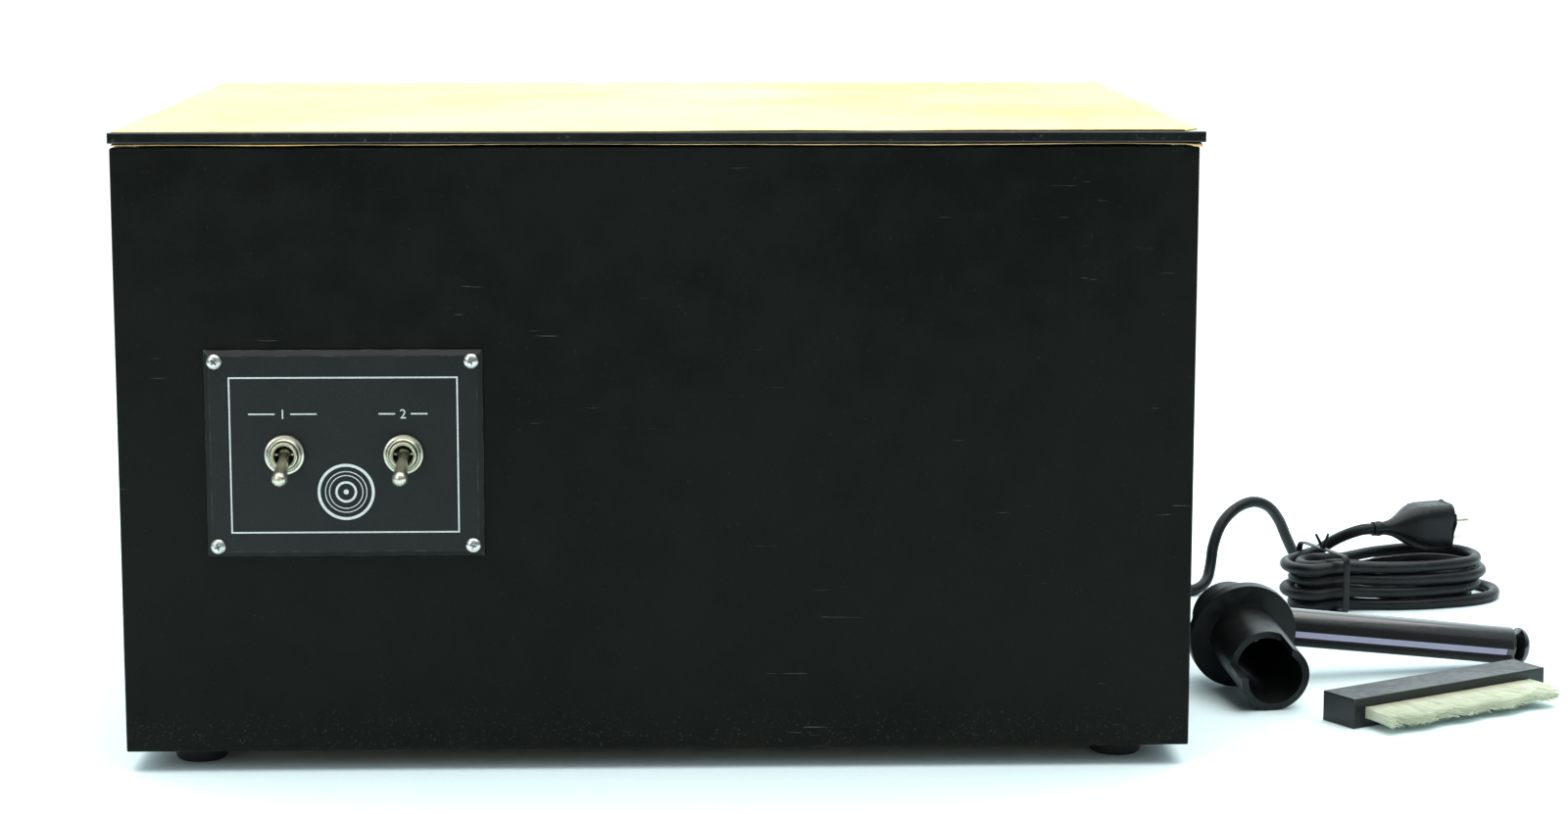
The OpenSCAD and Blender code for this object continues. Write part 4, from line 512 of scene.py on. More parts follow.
def tube_frame():
    """The suction tube's own frame: the pipe points down, the arm along X, and the flange is level."""
    tilt = math.atan((FLANGE_R - PIPE_R) / (PIPE_LEN - FLANGE_T / 2))
    height = FLANGE_R * math.cos(tilt) + FLANGE_T / 2 * math.sin(tilt)
    dip = math.asin((height + ARM_BACK * math.sin(tilt) - ARM_R) / ARM_LEN)
    roll = math.asin(math.sin(dip) / math.cos(tilt))
    return (Matrix.Translation(TUBE_AT + Vector((0, 0, height))) @ Matrix.Rotation(TUBE_TURN, 4, "Z")
            @ Matrix.Rotation(tilt - math.pi / 2, 4, "X") @ Matrix.Rotation(roll, 4, "Z"))


TUBE_FRAME = tube_frame()
ARM_FROM = TUBE_FRAME @ Vector((0, 0, ARM_BACK))
ARM_WAY = (TUBE_FRAME.to_3x3() @ Vector((1, 0, 0))).normalized()

BRUSH_AT = Vector((321.8, -121.4, 0)) * MM
BRUSH_TURN = math.radians(30.6)
BRUSH_FRAME = Matrix.Translation(BRUSH_AT) @ Matrix.Rotation(BRUSH_TURN, 4, "Z")
BRUSH_LEN = 122 * MM
BRUSH_H = 14.3 * MM
FIELD_FROM = 7 * MM
FIELD_TO = BRUSH_LEN - 10 * MM
FIELD_H = 5.3 * MM
BRISTLE_LEN = 20 * MM
BRISTLE_FLARE = 1.5 * MM
BRISTLE_SAG = 0.4 * MM


# Mesh helpers

def piece(name, bm, material, body, sharp=35):
    """A finished object of this bmesh, with smooth faces between its sharp edges, that rides on a body."""
    mesh = bpy.data.meshes.new(name)
    bm.to_mesh(mesh)
    bm.free()
    mesh.materials.append(material)
    mesh.shade_smooth()
    mesh.set_sharp_from_angle(angle=math.radians(sharp))
    made = bpy.data.objects.new(name, mesh)
    bpy.context.scene.collection.objects.link(made)
    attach(made, body)
    return made


def lathe(profile, steps):
    """A solid turned about Z from (radius, height) points. Its ends lie on the axis, or it closes
    on itself."""
    bm = bmesh.new()
    verts = [bm.verts.new((r, 0, z)) for r, z in profile]
    pairs = list(zip(verts, verts[1:]))
    if profile[0][0] > 0:
        pairs.append((verts[-1], verts[0]))
    edges = [bm.edges.new(pair) for pair in pairs]
    bmesh.ops.spin(bm, geom=verts + edges, axis=(0, 0, 1), cent=(0, 0, 0), angle=2 * math.pi,
                   steps=steps, use_merge=True)
    bmesh.ops.remove_doubles(bm, verts=bm.verts, dist=1e-7)
    bmesh.ops.recalc_face_normals(bm, faces=bm.faces)
    return bm


def copies(bm, places):
    """One bmesh with a copy of bm at each place."""
    mesh = bpy.data.meshes.new("pattern")
    bm.to_mesh(mesh)
    bm.free()
    made = bmesh.new()
    for place in places:
        before = len(made.verts)
        made.from_mesh(mesh)
        made.verts.ensure_lookup_table()
        bmesh.ops.transform(made, matrix=place, verts=made.verts[before:])
    bpy.data.meshes.remove(mesh)
    return made


def rounded(value, soft):
    """A step from 0 to 1 that takes soft to rise."""
    share = min(max(value / soft, 0.0), 1.0)
    return share * share * (3 - 2 * share)


# Mains cord: the route of the solids, in millimetres

CORD_D = 6.2
LEAD_ROUTE = [(200, 214, 60), (200, 221, 60), (200.5, 232, 57), (203, 242, 48), (207, 248, 36),
              (212, 251, 24), (219, 252, 13), (228, 250, 5.5), (239, 244, 3.1), (250, 232, 3.1),
              (258, 217, 3.1), (263, 200, 3.1), (267, 187, 3.1), (274, 179, 3.1), (284, 176.5, 3.1),
              (294, 179, 3.3), (301, 185, 7), (304, 190, 15), (306, 194, 25), (311, 199, 36),
              (320, 206, 43.5), (331, 214, 46), (341, 221, 42), (348.5, 228, 33), (354, 234, 22),
              (360, 240, 11), (366, 241.5, 4.5), (373, 238, 3.1), (379, 229, 3.1), (384, 217, 3.1),
              (390, 206, 3.1), (398, 198, 3.1)]
TAIL_ROUTE = [(361, 173, 26.4), (366, 173.5, 29.6), (371, 170.5, 33.4), (376.5, 166, 37)]
HANK_MID = (394, 160)
HANK_TURNED = math.radians(20)
HANK_RUN = 30
HANK_IN = 18.6
HANK_STEP = 7.4
HANK_LAYER = 6.8
HANK_DRAW = 12
HANK_REACH = 10
HANK_FROM = 0.1
HANK_TURNS = 5.85
HANK_RINGS = 24
HANK_CLIMB = 0.1
DRAW_AT = (-30, 26)
TIE_X = -38
TIE_LIFT = 1.4
TIE_LIFT_W = 12
TIE_T = 1
TIE_W = 4
TIE_ROOM = 2.5
NECK_AT = (389, 166)
NECK_LEN = 8
PLUG_TURN = math.radians(17)
PLUG_W = 25
PLUG_LEN = 36


def bell(s):
    return math.exp(-s * s)


def hank_height(t):
    climbs = sum(rounded((t - half) / (2 * HANK_CLIMB) + 0.5, 1.0) for half in (1.5, 3, 4.5))
    return CORD_D / 2 + HANK_LAYER * climbs


def loop_point(u, r):
    """A point of one loop: half a rear run, the right fold, the front run, the left fold, the other half."""
    if u < 0.1:
        return HANK_RUN * u / 0.1, r
    if u < 0.4:
        a = math.radians(90 - 600 * (u - 0.1))
        return HANK_RUN + r * math.cos(a), r * math.sin(a)
    if u < 0.6:
        return HANK_RUN - 10 * HANK_RUN * (u - 0.4), -r
    if u < 0.9:
        a = math.radians(-90 - 600 * (u - 0.6))
        return r * math.cos(a) - HANK_RUN, r * math.sin(a)
    return 10 * HANK_RUN * (u - 1), r


def hank_place(t):
    """The cord's centre after t loops. The tie draws the runs in and every layer lies over it."""
    r = HANK_IN + HANK_STEP * abs(t % 3 - 1.5)
    x, y = loop_point(t % 1, r)
    if t < 0.7 and x > 0:
        x *= 1 + HANK_REACH / (HANK_RUN + r)
    y *= 1 - HANK_DRAW * bell((x - DRAW_AT[0]) / DRAW_AT[1]) / r
    turned = Matrix.Rotation(HANK_TURNED, 2) @ Vector((x, y))
    lift = TIE_LIFT * bell((x - TIE_X) / TIE_LIFT_W)
    return Vector((HANK_MID[0] + turned.x, HANK_MID[1] + turned.y, hank_height(t) + lift))


def smooth_path(points, steps):
    """Points of a smooth curve through the given ones."""
    path = []
    last = len(points) - 1
    for i in range(last):
        p0, p1 = points[max(i - 1, 0)], points[i]
        p2, p3 = points[i + 1], points[min(i + 2, last)]
        for k in range(steps):
            s = k / steps
            path.append((2 * p1 + (p2 - p0) * s + (2 * p0 - 5 * p1 + 4 * p2 - p3) * s * s
                         + (3 * p1 - p0 - 3 * p2 + p3) * s ** 3) / 2)
    return path + [points[last]]


def plug_way():
    return Vector((math.cos(PLUG_TURN), math.sin(PLUG_TURN), 0))


def neck_start():
    return Vector((*NECK_AT, hank_height(HANK_TURNS) + CORD_D / 2 + 0.3 + PLUG_W / 2))


def cord_path():
    """The whole cord from its strain relief through the hank to the plug, in millimetres."""
    loops = int((HANK_TURNS - HANK_FROM) * HANK_RINGS)
    bare = [hank_place(HANK_FROM + i / HANK_RINGS) for i in range(loops + 1)]
    way_in = (bare[1] - bare[0]).normalized()
    way_out = (bare[-1] - bare[-2]).normalized()
    first = bare[0] - CORD_D * way_in
    last = bare[-1] + CORD_D * way_out
    start = neck_start()
    hank = [first - CORD_D * way_in, first, *bare, last, last + CORD_D * way_out]
    points = [*map(Vector, LEAD_ROUTE), *hank, *map(Vector, TAIL_ROUTE), start - CORD_D * plug_way(), start]
    return smooth_path(points, 4)


def path_length(path):
    return sum((b - a).length for a, b in zip(path, path[1:]))


def make_cord(material):
    path = cord_path()
    data = bpy.data.curves.new("mains_cord", "CURVE")
    data.dimensions = "3D"
    data.bevel_depth = CORD_D / 2 * MM
    data.bevel_resolution = 5
    data.use_fill_caps = True
    spline = data.splines.new("POLY")
    spline.points.add(len(path) - 1)
    for point, place in zip(spline.points, path):
        point.co = (*(place * MM), 1)
    spline.use_smooth = True
    data.materials.append(material)
    made = bpy.data.objects.new("mains_cord", data)
    bpy.context.scene.collection.objects.link(made)
    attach(made, "cabinet")
    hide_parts("power_cord_lead", "power_cord_hank", "power_cord_tail")
    return made, path_length(path) * MM


def make_plug(material):
    """Moulded plug: a round neck that widens into a squared-off grip with ribs, and a flat front face."""
    sides, stations = 48, 26
    bm = bmesh.new()
    bmesh.ops.create_cone(bm, cap_ends=True, segments=sides, radius1=1, radius2=1, depth=1)
    bmesh.ops.translate(bm, verts=bm.verts, vec=(0, 0, 0.5))
    walls = [e for e in bm.edges if abs(e.verts[0].co.z - e.verts[1].co.z) > 0.5]
    bmesh.ops.subdivide_edges(bm, edges=walls, cuts=stations)
    for v in bm.verts:
        along = v.co.z * (NECK_LEN + PLUG_LEN)
        body = rounded(along - NECK_LEN + 1, PLUG_LEN * 0.62)
        half = 3.9 + (PLUG_W / 2 - 3.9) * body
        if 2 < along < NECK_LEN:
            half += 0.35 * math.sin(along * 2.6)
        if NECK_LEN + 9 < along < PLUG_LEN - 3:
            half -= 0.45 * max(0.0, math.sin(along * 2.1)) ** 2
        square = 2 + 2.4 * body
        a = math.atan2(v.co.y, v.co.x)
        reach = half / (abs(math.cos(a)) ** square + abs(math.sin(a)) ** square) ** (1 / square)
        v.co = Vector((along, reach * math.cos(a), reach * math.sin(a)))
    rim = [e for e in bm.edges if all(v.co.x > NECK_LEN + PLUG_LEN - 0.01 for v in e.verts)]
    bmesh.ops.bevel(bm, geom=rim, offset=1.2, offset_type="OFFSET", segments=3, profile=0.5,
                    affect="EDGES", material=-1)
    bmesh.ops.recalc_face_normals(bm, faces=bm.faces)
    start = neck_start() * MM
    place = Matrix.Translation(start) @ Matrix.Rotation(PLUG_TURN, 4, "Z") @ Matrix.Scale(MM, 4)
    bmesh.ops.transform(bm, matrix=place, verts=bm.verts)
    made = piece("plug_moulding", bm, material, "cabinet")
    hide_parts("plug_body")
    return made


def strap_outline(reach, height, corner, steps=6):
    """Points round a rounded rectangle that stands on the line y = 0."""
    points = []
    for i, (cx, cy) in enumerate(((reach - corner, height - corner), (corner - reach, height - corner),
                                  (corner - reach, corner), (reach - corner, corner))):
        for k in range(steps + 1):
            a = math.radians(90 * i + 90 * k / steps)
            points.append((cx + corner * math.cos(a), cy + corner * math.sin(a)))
    return points


def make_tie(material):
    """Flat strap round the hank. Its two ends are twisted together on top."""
    drawn = HANK_DRAW * bell((TIE_X - DRAW_AT[0]) / DRAW_AT[1])
    reach = HANK_IN + 1.5 * HANK_STEP - drawn + CORD_D / 2 + TIE_ROOM
    inner_h = hank_height(HANK_TURNS) + CORD_D + 1
    bm = bmesh.new()
    loops = []
    for grow in (0.12, TIE_T - 0.12):
        outline = strap_outline(reach + grow, inner_h + 2 * grow, 4 + grow)
        loops.append([(y, z + TIE_T - grow) for y, z in outline])
    half = TIE_W / 2 * 0.92
    sections = [(loops[0], -half), (loops[0], half), (loops[1], half), (loops[1], -half)]
    rings = []
    for outline, x in sections:
        verts = [bm.verts.new((x, y, z)) for y, z in outline]
        rings.append([bm.edges.new((verts[i - 1], verts[i])) for i in range(len(verts))])
    for i in range(4):
        bmesh.ops.bridge_loops(bm, edges=rings[i] + rings[(i + 1) % 4])
    bmesh.ops.bevel(bm, geom=[e for ring in rings for e in ring], offset=0.22, offset_type="OFFSET",
                    segments=2, profile=0.5, affect="EDGES", material=-1)
    for lean, way in ((-20, 1), (12, -1)):
        end = bmesh.ops.create_cone(bm, cap_ends=True, segments=10, radius1=1.1, radius2=0.7,
                                    depth=9)["verts"]
        tilted = Matrix.Rotation(math.radians(lean), 4, "X") @ Matrix.Rotation(math.radians(lean), 4, "Y")
        place = Matrix.Translation((0, 0, inner_h + 1.5 * TIE_T)) @ tilted @ Matrix.Translation((0, 0, 4.5))
        bmesh.ops.transform(bm, matrix=place, verts=end)
    bmesh.ops.recalc_face_normals(bm, faces=bm.faces)
    middle = Matrix.Translation(Vector((*HANK_MID, 0)) * MM) @ Matrix.Rotation(HANK_TURNED, 4, "Z")
    place = middle @ Matrix.Translation((TIE_X * MM, 0, 0)) @ Matrix.Scale(MM, 4)
    bmesh.ops.transform(bm, matrix=place, verts=bm.verts)
    made = piece("tie_strap", bm, material, "cabinet")
    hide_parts("cord_tie")
    return made


def make_cords(rubber, strap, blade_metal):
    cord, length = make_cord(rubber)
    plug = make_plug(rubber)
    tie = make_tie(strap)


# Strain relief

RELIEF_AT = (200, 184, 60)
RELIEF_LEN = 30
RELIEF_RIBS = 5


def make_relief_boot(rubber):
    """Tapered boot with soft ribs, from the back of the cabinet to where the cord comes free."""
    low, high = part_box("strain_relief")
    root = (high.x - low.x) / 2 / MM
    flange = 2.5
    profile = [(CORD_D / 2 + 0.02, 0), (root - 0.3, 0), (root, 0.3), (root, flange - 0.3),
               (root - 0.3, flange)]
    reach = RELIEF_LEN - flange - 1
    for i in range(RELIEF_RIBS * 6 + 1):
        share = i / (RELIEF_RIBS * 6)
        bare = 5.6 + (CORD_D / 2 + 1.1 - 5.6) * share
        rib = 0.5 * max(0.0, math.sin(share * RELIEF_RIBS * 2 * math.pi - 1.2))
        profile.append((bare + rib, flange + 0.2 + reach * share))
    profile += [(CORD_D / 2 + 0.6, RELIEF_LEN), (CORD_D / 2 + 0.02, RELIEF_LEN)]
    bm = lathe([(r * MM, z * MM) for r, z in profile], 40)
    place = Matrix.Translation(Vector(RELIEF_AT) * MM) @ Matrix.Rotation(-math.pi / 2, 4, "X")
    bmesh.ops.transform(bm, matrix=place, verts=bm.verts)
    made = piece("relief_boot", bm, rubber, "cabinet")
    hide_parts("strain_relief")
    return made


# Lid papers

def ragged(x, seed, size):
    """How far a torn edge strays at x, in metres."""
    broad = noise.noise(Vector((x * 28, seed, 0.3)))
    fine = noise.noise(Vector((x * 190, seed, 4.1)))
    return size * (0.7 * broad + 0.45 * fine)


def paper_grid(low, high, columns, rows, front_power):
    """A flat grid between two corners, with its rows crowded at the front. Returns its bmesh and a
    list of (vertex, share from left to right, share from front to back)."""
    bm = bmesh.new()
    bmesh.ops.create_grid(bm, x_segments=columns, y_segments=rows, size=0.5)
    shares = []
    for v in bm.verts:
        across, back = v.co.x + 0.5, v.co.y + 0.5
        shares.append((v, across, back))
        v.co.x = low.x + (high.x - low.x) * across
        v.co.y = low.y + (high.y - low.y) * back ** front_power
    return bm, shares


def thicken(bm, thickness):
    """The sheet gets a second face at this distance above it, closed round its edges."""
    bmesh.ops.recalc_face_normals(bm, faces=bm.faces)
    if sum(f.normal.z for f in bm.faces) < 0:
        bmesh.ops.reverse_faces(bm, faces=bm.faces)
    bmesh.ops.solidify(bm, geom=bm.verts[:] + bm.edges[:] + bm.faces[:], thickness=thickness)
    bmesh.ops.recalc_face_normals(bm, faces=bm.faces)


def mark_points(made, name, values):
    layer = made.data.attributes.new(name, "FLOAT", "POINT")
    layer.data.foreach_set("value", values)


TORN_CORNER = (8 * MM, 14 * MM)


def make_top_paper(material):
    """The paper on the lid: a straight edge at the left, a ragged curling one at the right front, and
    a corner torn off."""
    low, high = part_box("lid_top_paper")
    thickness = high.z - low.z
    bm, shares = paper_grid(low, high, 220, 56, 2.2)
    width = high.x - low.x
    for v, across, back in shares:
        wear = rounded(across - 0.42, 0.25)
        near = (1 - back) ** 8
        v.co.y += (0.25 * MM + wear * (0.55 * MM + ragged(v.co.x, 1.7, 1.1 * MM))) * near
        side = rounded(across - 0.97, 0.03) * (1 - near)
        v.co.x += side * ragged(v.co.y, 8.2, 0.9 * MM) * rounded(1 - across, 0.002) - side * 0.4 * MM
        curl = wear * (1 - back) ** 26 * (0.35 * MM + 0.5 * MM * noise.noise(Vector((v.co.x * 17, 3.3, 0))))
        wrinkle = 0.12 * MM * max(0.0, noise.noise(Vector((v.co.x * 9, v.co.y * 9, 5.5))))
        v.co.z = high.z + max(curl, 0.0) + wrinkle
    corner = Vector((high.x - TORN_CORNER[0], low.y, 0))
    cut = Vector((TORN_CORNER[1], -TORN_CORNER[0], 0)).normalized()
    bmesh.ops.bisect_plane(bm, geom=bm.verts[:] + bm.edges[:] + bm.faces[:], plane_co=corner,
                           plane_no=cut, clear_outer=True)
    thicken(bm, thickness)
    made = piece("top_paper", bm, material, "lid", sharp=50)
    front = low.y
    values = []
    for v in made.data.vertices:
        edge = front + 0.25 * MM + rounded((v.co.x - low.x) / width - 0.42, 0.25) * 0.55 * MM
        near_edge = 1 - rounded(v.co.y - edge, 1.3 * MM)
        values.append(0.9 * near_edge * rounded((v.co.x - low.x) / width - 0.4, 0.3))
    mark_points(made, "torn", values)
    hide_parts("lid_top_paper")
    return made


FLAP_FROM = 229.5 * MM
FLAP_DROP = 2.3 * MM


def make_under_paper(material):
    """The paper under the lid: its wavy front edge shows in the gap, and a torn flap hangs at the right."""
    low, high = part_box("lid_under_paper")
    thickness = 0.18 * MM
    bm, shares = paper_grid(low, high, 260, 40, 2.4)
    gap = 1.35 * MM
    for v, across, back in shares:
        near = (1 - back) ** 9
        sag = 0.5 + 0.5 * noise.noise(Vector((v.co.x * 21, 9.4, 0)))
        v.co.y += near * ragged(v.co.x, 6.1, 0.7 * MM)
        drop = near * gap * sag * (0.35 + 0.65 * rounded(abs(across - 0.4), 0.3))
        flap = rounded(v.co.x - FLAP_FROM, 3 * MM) * (1 - back) ** 16
        tip = 0.75 + 0.5 * noise.noise(Vector((v.co.x * 260, 2.2, 0)))
        v.co.z = high.z - thickness - drop * (1 - flap) - flap * FLAP_DROP * tip
        v.co.y -= flap * 0.9 * MM
    thicken(bm, thickness)
    made = piece("under_paper", bm, material, "lid", sharp=50)
    mark_points(made, "torn", [(1 - rounded(v.co.y - low.y, 4 * MM)) for v in made.data.vertices])
    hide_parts("lid_under_paper")
    return made


# Control panel

SCREW_R = 3.35 * MM
SCREW_H = 2 * MM
PANEL_LINE = (-186.15 * MM, 108.1 * MM, -86.9 * MM, 176.9 * MM)
LINE_W = 0.65 * MM
INK_T = 0.04 * MM
LABEL_Z = 160.65 * MM
LABEL_H = 4.1 * MM
LABELS = (("1", -162.9 * MM, 29.6 * MM), ("2", -110.8 * MM, 21.2 * MM))
MARK_AT = (-136 * MM, 126.3 * MM)
MARK_R = 12.4 * MM


def cross_screw():
    """Pan head with a cross recess, its top at Z = 0, standing on Z = -SCREW_H."""
    bm = bmesh.new()
    bmesh.ops.create_grid(bm, x_segments=18, y_segments=18, size=1)
    arm, slot = 0.5, 0.12
    recess = []
    for f in bm.faces:
        c = f.calc_center_median()
        if min(abs(c.x), abs(c.y)) < slot and max(abs(c.x), abs(c.y)) < arm:
            recess.append(f)
    rim = [e for e in bm.edges if e.is_boundary]
    pushed = bmesh.ops.extrude_face_region(bm, geom=recess)
    low = [v for v in pushed["geom"] if isinstance(v, bmesh.types.BMVert)]
    deep = {v: 0.8 * (1 - 0.5 * v.co.to_2d().length / arm) for v in low}
    bmesh.ops.delete(bm, geom=recess, context="FACES_ONLY")
    skirt = bmesh.ops.extrude_edge_only(bm, edges=rim)
    foot = {v for v in skirt["geom"] if isinstance(v, bmesh.types.BMVert)}
    for v in bm.verts:
        x, y = v.co.x, v.co.y
        shrink = 0.8 if v in deep else 1.0
        round_x = x * math.sqrt(1 - y * y / 2) * shrink
        round_y = y * math.sqrt(1 - x * x / 2) * shrink
        far = math.hypot(round_x, round_y)
        dome = -0.62 * SCREW_H * far ** 3.2
        z = -deep[v] * SCREW_H * 1.5 if v in deep else dome
        if v in foot:
            z = -SCREW_H
        v.co = Vector((round_x * SCREW_R, round_y * SCREW_R, z))
    bmesh.ops.recalc_face_normals(bm, faces=bm.faces)
    return bm


def make_panel_screws(material):
    low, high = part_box("panel_screws")
    xs = (low.x + 3.2 * MM, high.x - 3.2 * MM)
    zs = (low.z + 3.2 * MM, high.z - 3.2 * MM)
    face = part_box("control_panel")[0].y
    places = []
    for i, (x, z) in enumerate((x, z) for x in xs for z in zs):
        turned = Matrix.Rotation(math.radians(17 + 31 * i), 4, "Z")
        facing = Matrix.Rotation(math.pi / 2, 4, "X")
        places.append(Matrix.Translation((x, face - SCREW_H, z)) @ facing @ turned)
    made = piece("panel_screw_heads", copies(cross_screw(), places), material, "cabinet", 50)
    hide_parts("panel_screws")
    return made


def knurled_nut():
    """Round nut with a knurled rim and a stepped, rounded face, standing on Z = 0."""
    knurls = 72
    bore, rim, top = 6.06, 8.85, 4.0
    profile = [(bore, 0), (rim - 0.3, 0), (rim, 0.3), (rim, 2.1), (rim - 0.35, 2.45), (7.9, 2.6),
               (7.6, 2.75), (7.45, 3.2), (7.2, 3.7), (6.8, top), (6.45, top - 0.05), (6.2, 3.7), (bore, 3.3)]
    bm = lathe([(r * MM, z * MM) for r, z in profile], 2 * knurls)
    for v in bm.verts:
        far = math.hypot(v.co.x, v.co.y)
        step = round(math.atan2(v.co.y, v.co.x) / (math.pi / knurls))
        if far > (rim - 0.1) * MM and step % 2:
            v.co.x *= 1 - 0.045
            v.co.y *= 1 - 0.045
    return bm


def make_nuts(material):
    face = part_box("control_panel")[0].y
    places = []
    for lever in ("motor_switch_lever", "vacuum_switch_lever"):
        low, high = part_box(lever)
        pin = Vector(((low.x + high.x) / 2, face, SWITCH_Z))
        places.append(Matrix.Translation(pin) @ Matrix.Rotation(math.pi / 2, 4, "X"))
    made = piece("knurled_nuts", copies(knurled_nut(), places), material, "cabinet", 30)
    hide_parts("switch_nuts")
    return made


SWITCH_Z = 143 * MM


def make_bushings(material):
    """Rolled ends of the switches' threaded bushings, which show inside the nuts."""
    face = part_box("control_panel")[0].y
    profile = [(4.92, 3.2), (6.02, 3.2), (6.02, 4.7), (5.95, 5.1), (5.75, 5.35), (5.45, 5.45), (5.1, 5.35),
               (4.75, 5.1), (4.45, 4.75), (4.3, 4.3), (4.3, 1.2), (4.92, 1.2)]
    places = []
    for lever in ("motor_switch_lever", "vacuum_switch_lever"):
        low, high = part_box(lever)
        pin = Vector(((low.x + high.x) / 2, face, SWITCH_Z))
        places.append(Matrix.Translation(pin) @ Matrix.Rotation(math.pi / 2, 4, "X"))
    ring = lathe([(r * MM, z * MM) for r, z in profile], 64)
    piece("bushing_ends", copies(ring, places), material, "cabinet", 30)


def flat_print(name, bm, material):
    """A printed shape drawn on XZ, laid on the panel's face."""
    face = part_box("control_panel")[0].y
    drawn = bm.faces[:]
    raised = bmesh.ops.extrude_face_region(bm, geom=drawn)
    verts = [v for v in raised["geom"] if isinstance(v, bmesh.types.BMVert)]
    bmesh.ops.translate(bm, verts=verts, vec=(0, 0, INK_T))
    bmesh.ops.recalc_face_normals(bm, faces=bm.faces)
    upright = Matrix.Translation((0, face, 0)) @ Matrix.Rotation(math.pi / 2, 4, "X")
    bmesh.ops.transform(bm, matrix=upright, verts=bm.verts)
    return piece(name, bm, material, "cabinet")


def rectangle(bm, x0, y0, x1, y1):
    """A flat rectangle. Returns its face."""
    before = set(bm.faces)
    middle = Matrix.Translation(((x0 + x1) / 2, (y0 + y1) / 2, 0)) @ Matrix.Diagonal((x1 - x0, y1 - y0, 1, 1))
    bmesh.ops.create_grid(bm, x_segments=1, y_segments=1, size=0.5, matrix=middle)
    return [f for f in bm.faces if f not in before]


def ring_mark(bm, centre, outer, inner):
    """A flat ring."""
    steps = 72
    rings = []
    for r in (outer, inner):
        made = bmesh.ops.create_circle(bm, cap_ends=False, segments=steps, radius=r,
                                       matrix=Matrix.Translation((*centre, 0)))
        rings += {e for v in made["verts"] for e in v.link_edges}
    bmesh.ops.bridge_loops(bm, edges=rings)


def make_panel_print(ink):
    x0, z0, x1, z1 = PANEL_LINE
    bm = bmesh.new()
    faces = rectangle(bm, x0, z0, x1, z1)
    bmesh.ops.inset_region(bm, faces=faces, thickness=LINE_W, use_boundary=True,
                           use_even_offset=True)
    bmesh.ops.delete(bm, geom=faces, context="FACES")
    flat_print("printed_line", bm, ink)
    for digit, x, width in LABELS:
        bm = digit_mesh(digit)
        bmesh.ops.translate(bm, verts=bm.verts, vec=(x, LABEL_Z, 0))
        inner = 3.4 * MM
        for side in (-1, 1):
            ends = sorted((x + side * inner, x + side * width / 2))
            rectangle(bm, ends[0], LABEL_Z - 0.3 * MM, ends[1], LABEL_Z + 0.3 * MM)
        flat_print("printed_mark_" + digit, bm, ink)
    bm = bmesh.new()
    for outer, inner in ((1, 0.9), (0.74, 0.71), (0.6, 0.57), (0.38, 0.3)):
        ring_mark(bm, MARK_AT, MARK_R * outer, MARK_R * inner)
    bmesh.ops.create_circle(bm, cap_ends=True, segments=24, radius=MARK_R * 0.09,
                            matrix=Matrix.Translation((*MARK_AT, 0)))
    flat_print("printed_disc", bm, ink)


def digit_mesh(digit):
    """The flat outline of one digit, centred, in a plain built-in face."""
    data = bpy.data.curves.new("digit", "FONT")
    data.body = digit
    data.size = LABEL_H / 0.7
    data.align_x = "CENTER"
    data.resolution_u = 6
    holder = bpy.data.objects.new("digit", data)
    mesh = bpy.data.meshes.new_from_object(holder)
    bm = bmesh.new()
    bm.from_mesh(mesh)
    bpy.data.objects.remove(holder)
    bpy.data.meshes.remove(mesh)
    bmesh.ops.translate(bm, verts=bm.verts, vec=(0, -LABEL_H / 2, 0))
    return bm


# Suction tube's velvet

def make_velvet_strips(material):
    """Two pile strips, one on either side of the slot, with rounded edges and ends."""
    columns, rows = 260, 12
    start, end = SLOT_FROM - 6 * MM, SLOT_TO + 3 * MM
    outer = ARM_R + LIP_T
    bm = bmesh.new()
    for side in (-1, 1):
        sheet = bmesh.new()
        bmesh.ops.create_grid(sheet, x_segments=columns, y_segments=rows, size=0.5)
        near = math.asin((SLOT_W / 2 + 0.4 * MM) / outer)
        far = math.asin((SLOT_W / 2 + 0.4 * MM + LIP_W) / outer)
        for v in sheet.verts:
            t, across = v.co.x + 0.5, v.co.y + 0.5
            a = side * (near + (far - near) * across)
            edge = min(rounded(across, 0.22), rounded(1 - across, 0.22), rounded(t, 0.01),
                       rounded(1 - t, 0.01))
            pile = 0.09 * MM * noise.noise(Vector((t * 480, across * 22, side * 3.0)))
            r = ARM_R + LIP_T * (0.55 + 0.45 * edge) + pile * edge
            s = start + (end - start) * t
            v.co = Vector((s, r * math.sin(a), ARM_BACK - r * math.cos(a)))
        bmesh.ops.recalc_face_normals(sheet, faces=sheet.faces)
        middle = Vector((0, 0, ARM_BACK))
        outward = sum(f.normal.dot(f.calc_center_median() * Vector((0, 1, 1)) - middle)
                      for f in sheet.faces)
        if outward < 0:
            bmesh.ops.reverse_faces(sheet, faces=sheet.faces)
        bmesh.ops.solidify(sheet, geom=sheet.verts[:] + sheet.edges[:] + sheet.faces[:], thickness=0.55 * MM)
        mesh = bpy.data.meshes.new("strip")
        sheet.to_mesh(mesh)
        sheet.free()
        bm.from_mesh(mesh)
        bpy.data.meshes.remove(mesh)
    bmesh.ops.recalc_face_normals(bm, faces=bm.faces)
    bmesh.ops.transform(bm, matrix=TUBE_FRAME, verts=bm.verts)
    made = piece("velvet_strips", bm, material, "suction_tube", sharp=80)
    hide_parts("suction_lips")
    return made


# Brush

BRISTLES = (230, 15)


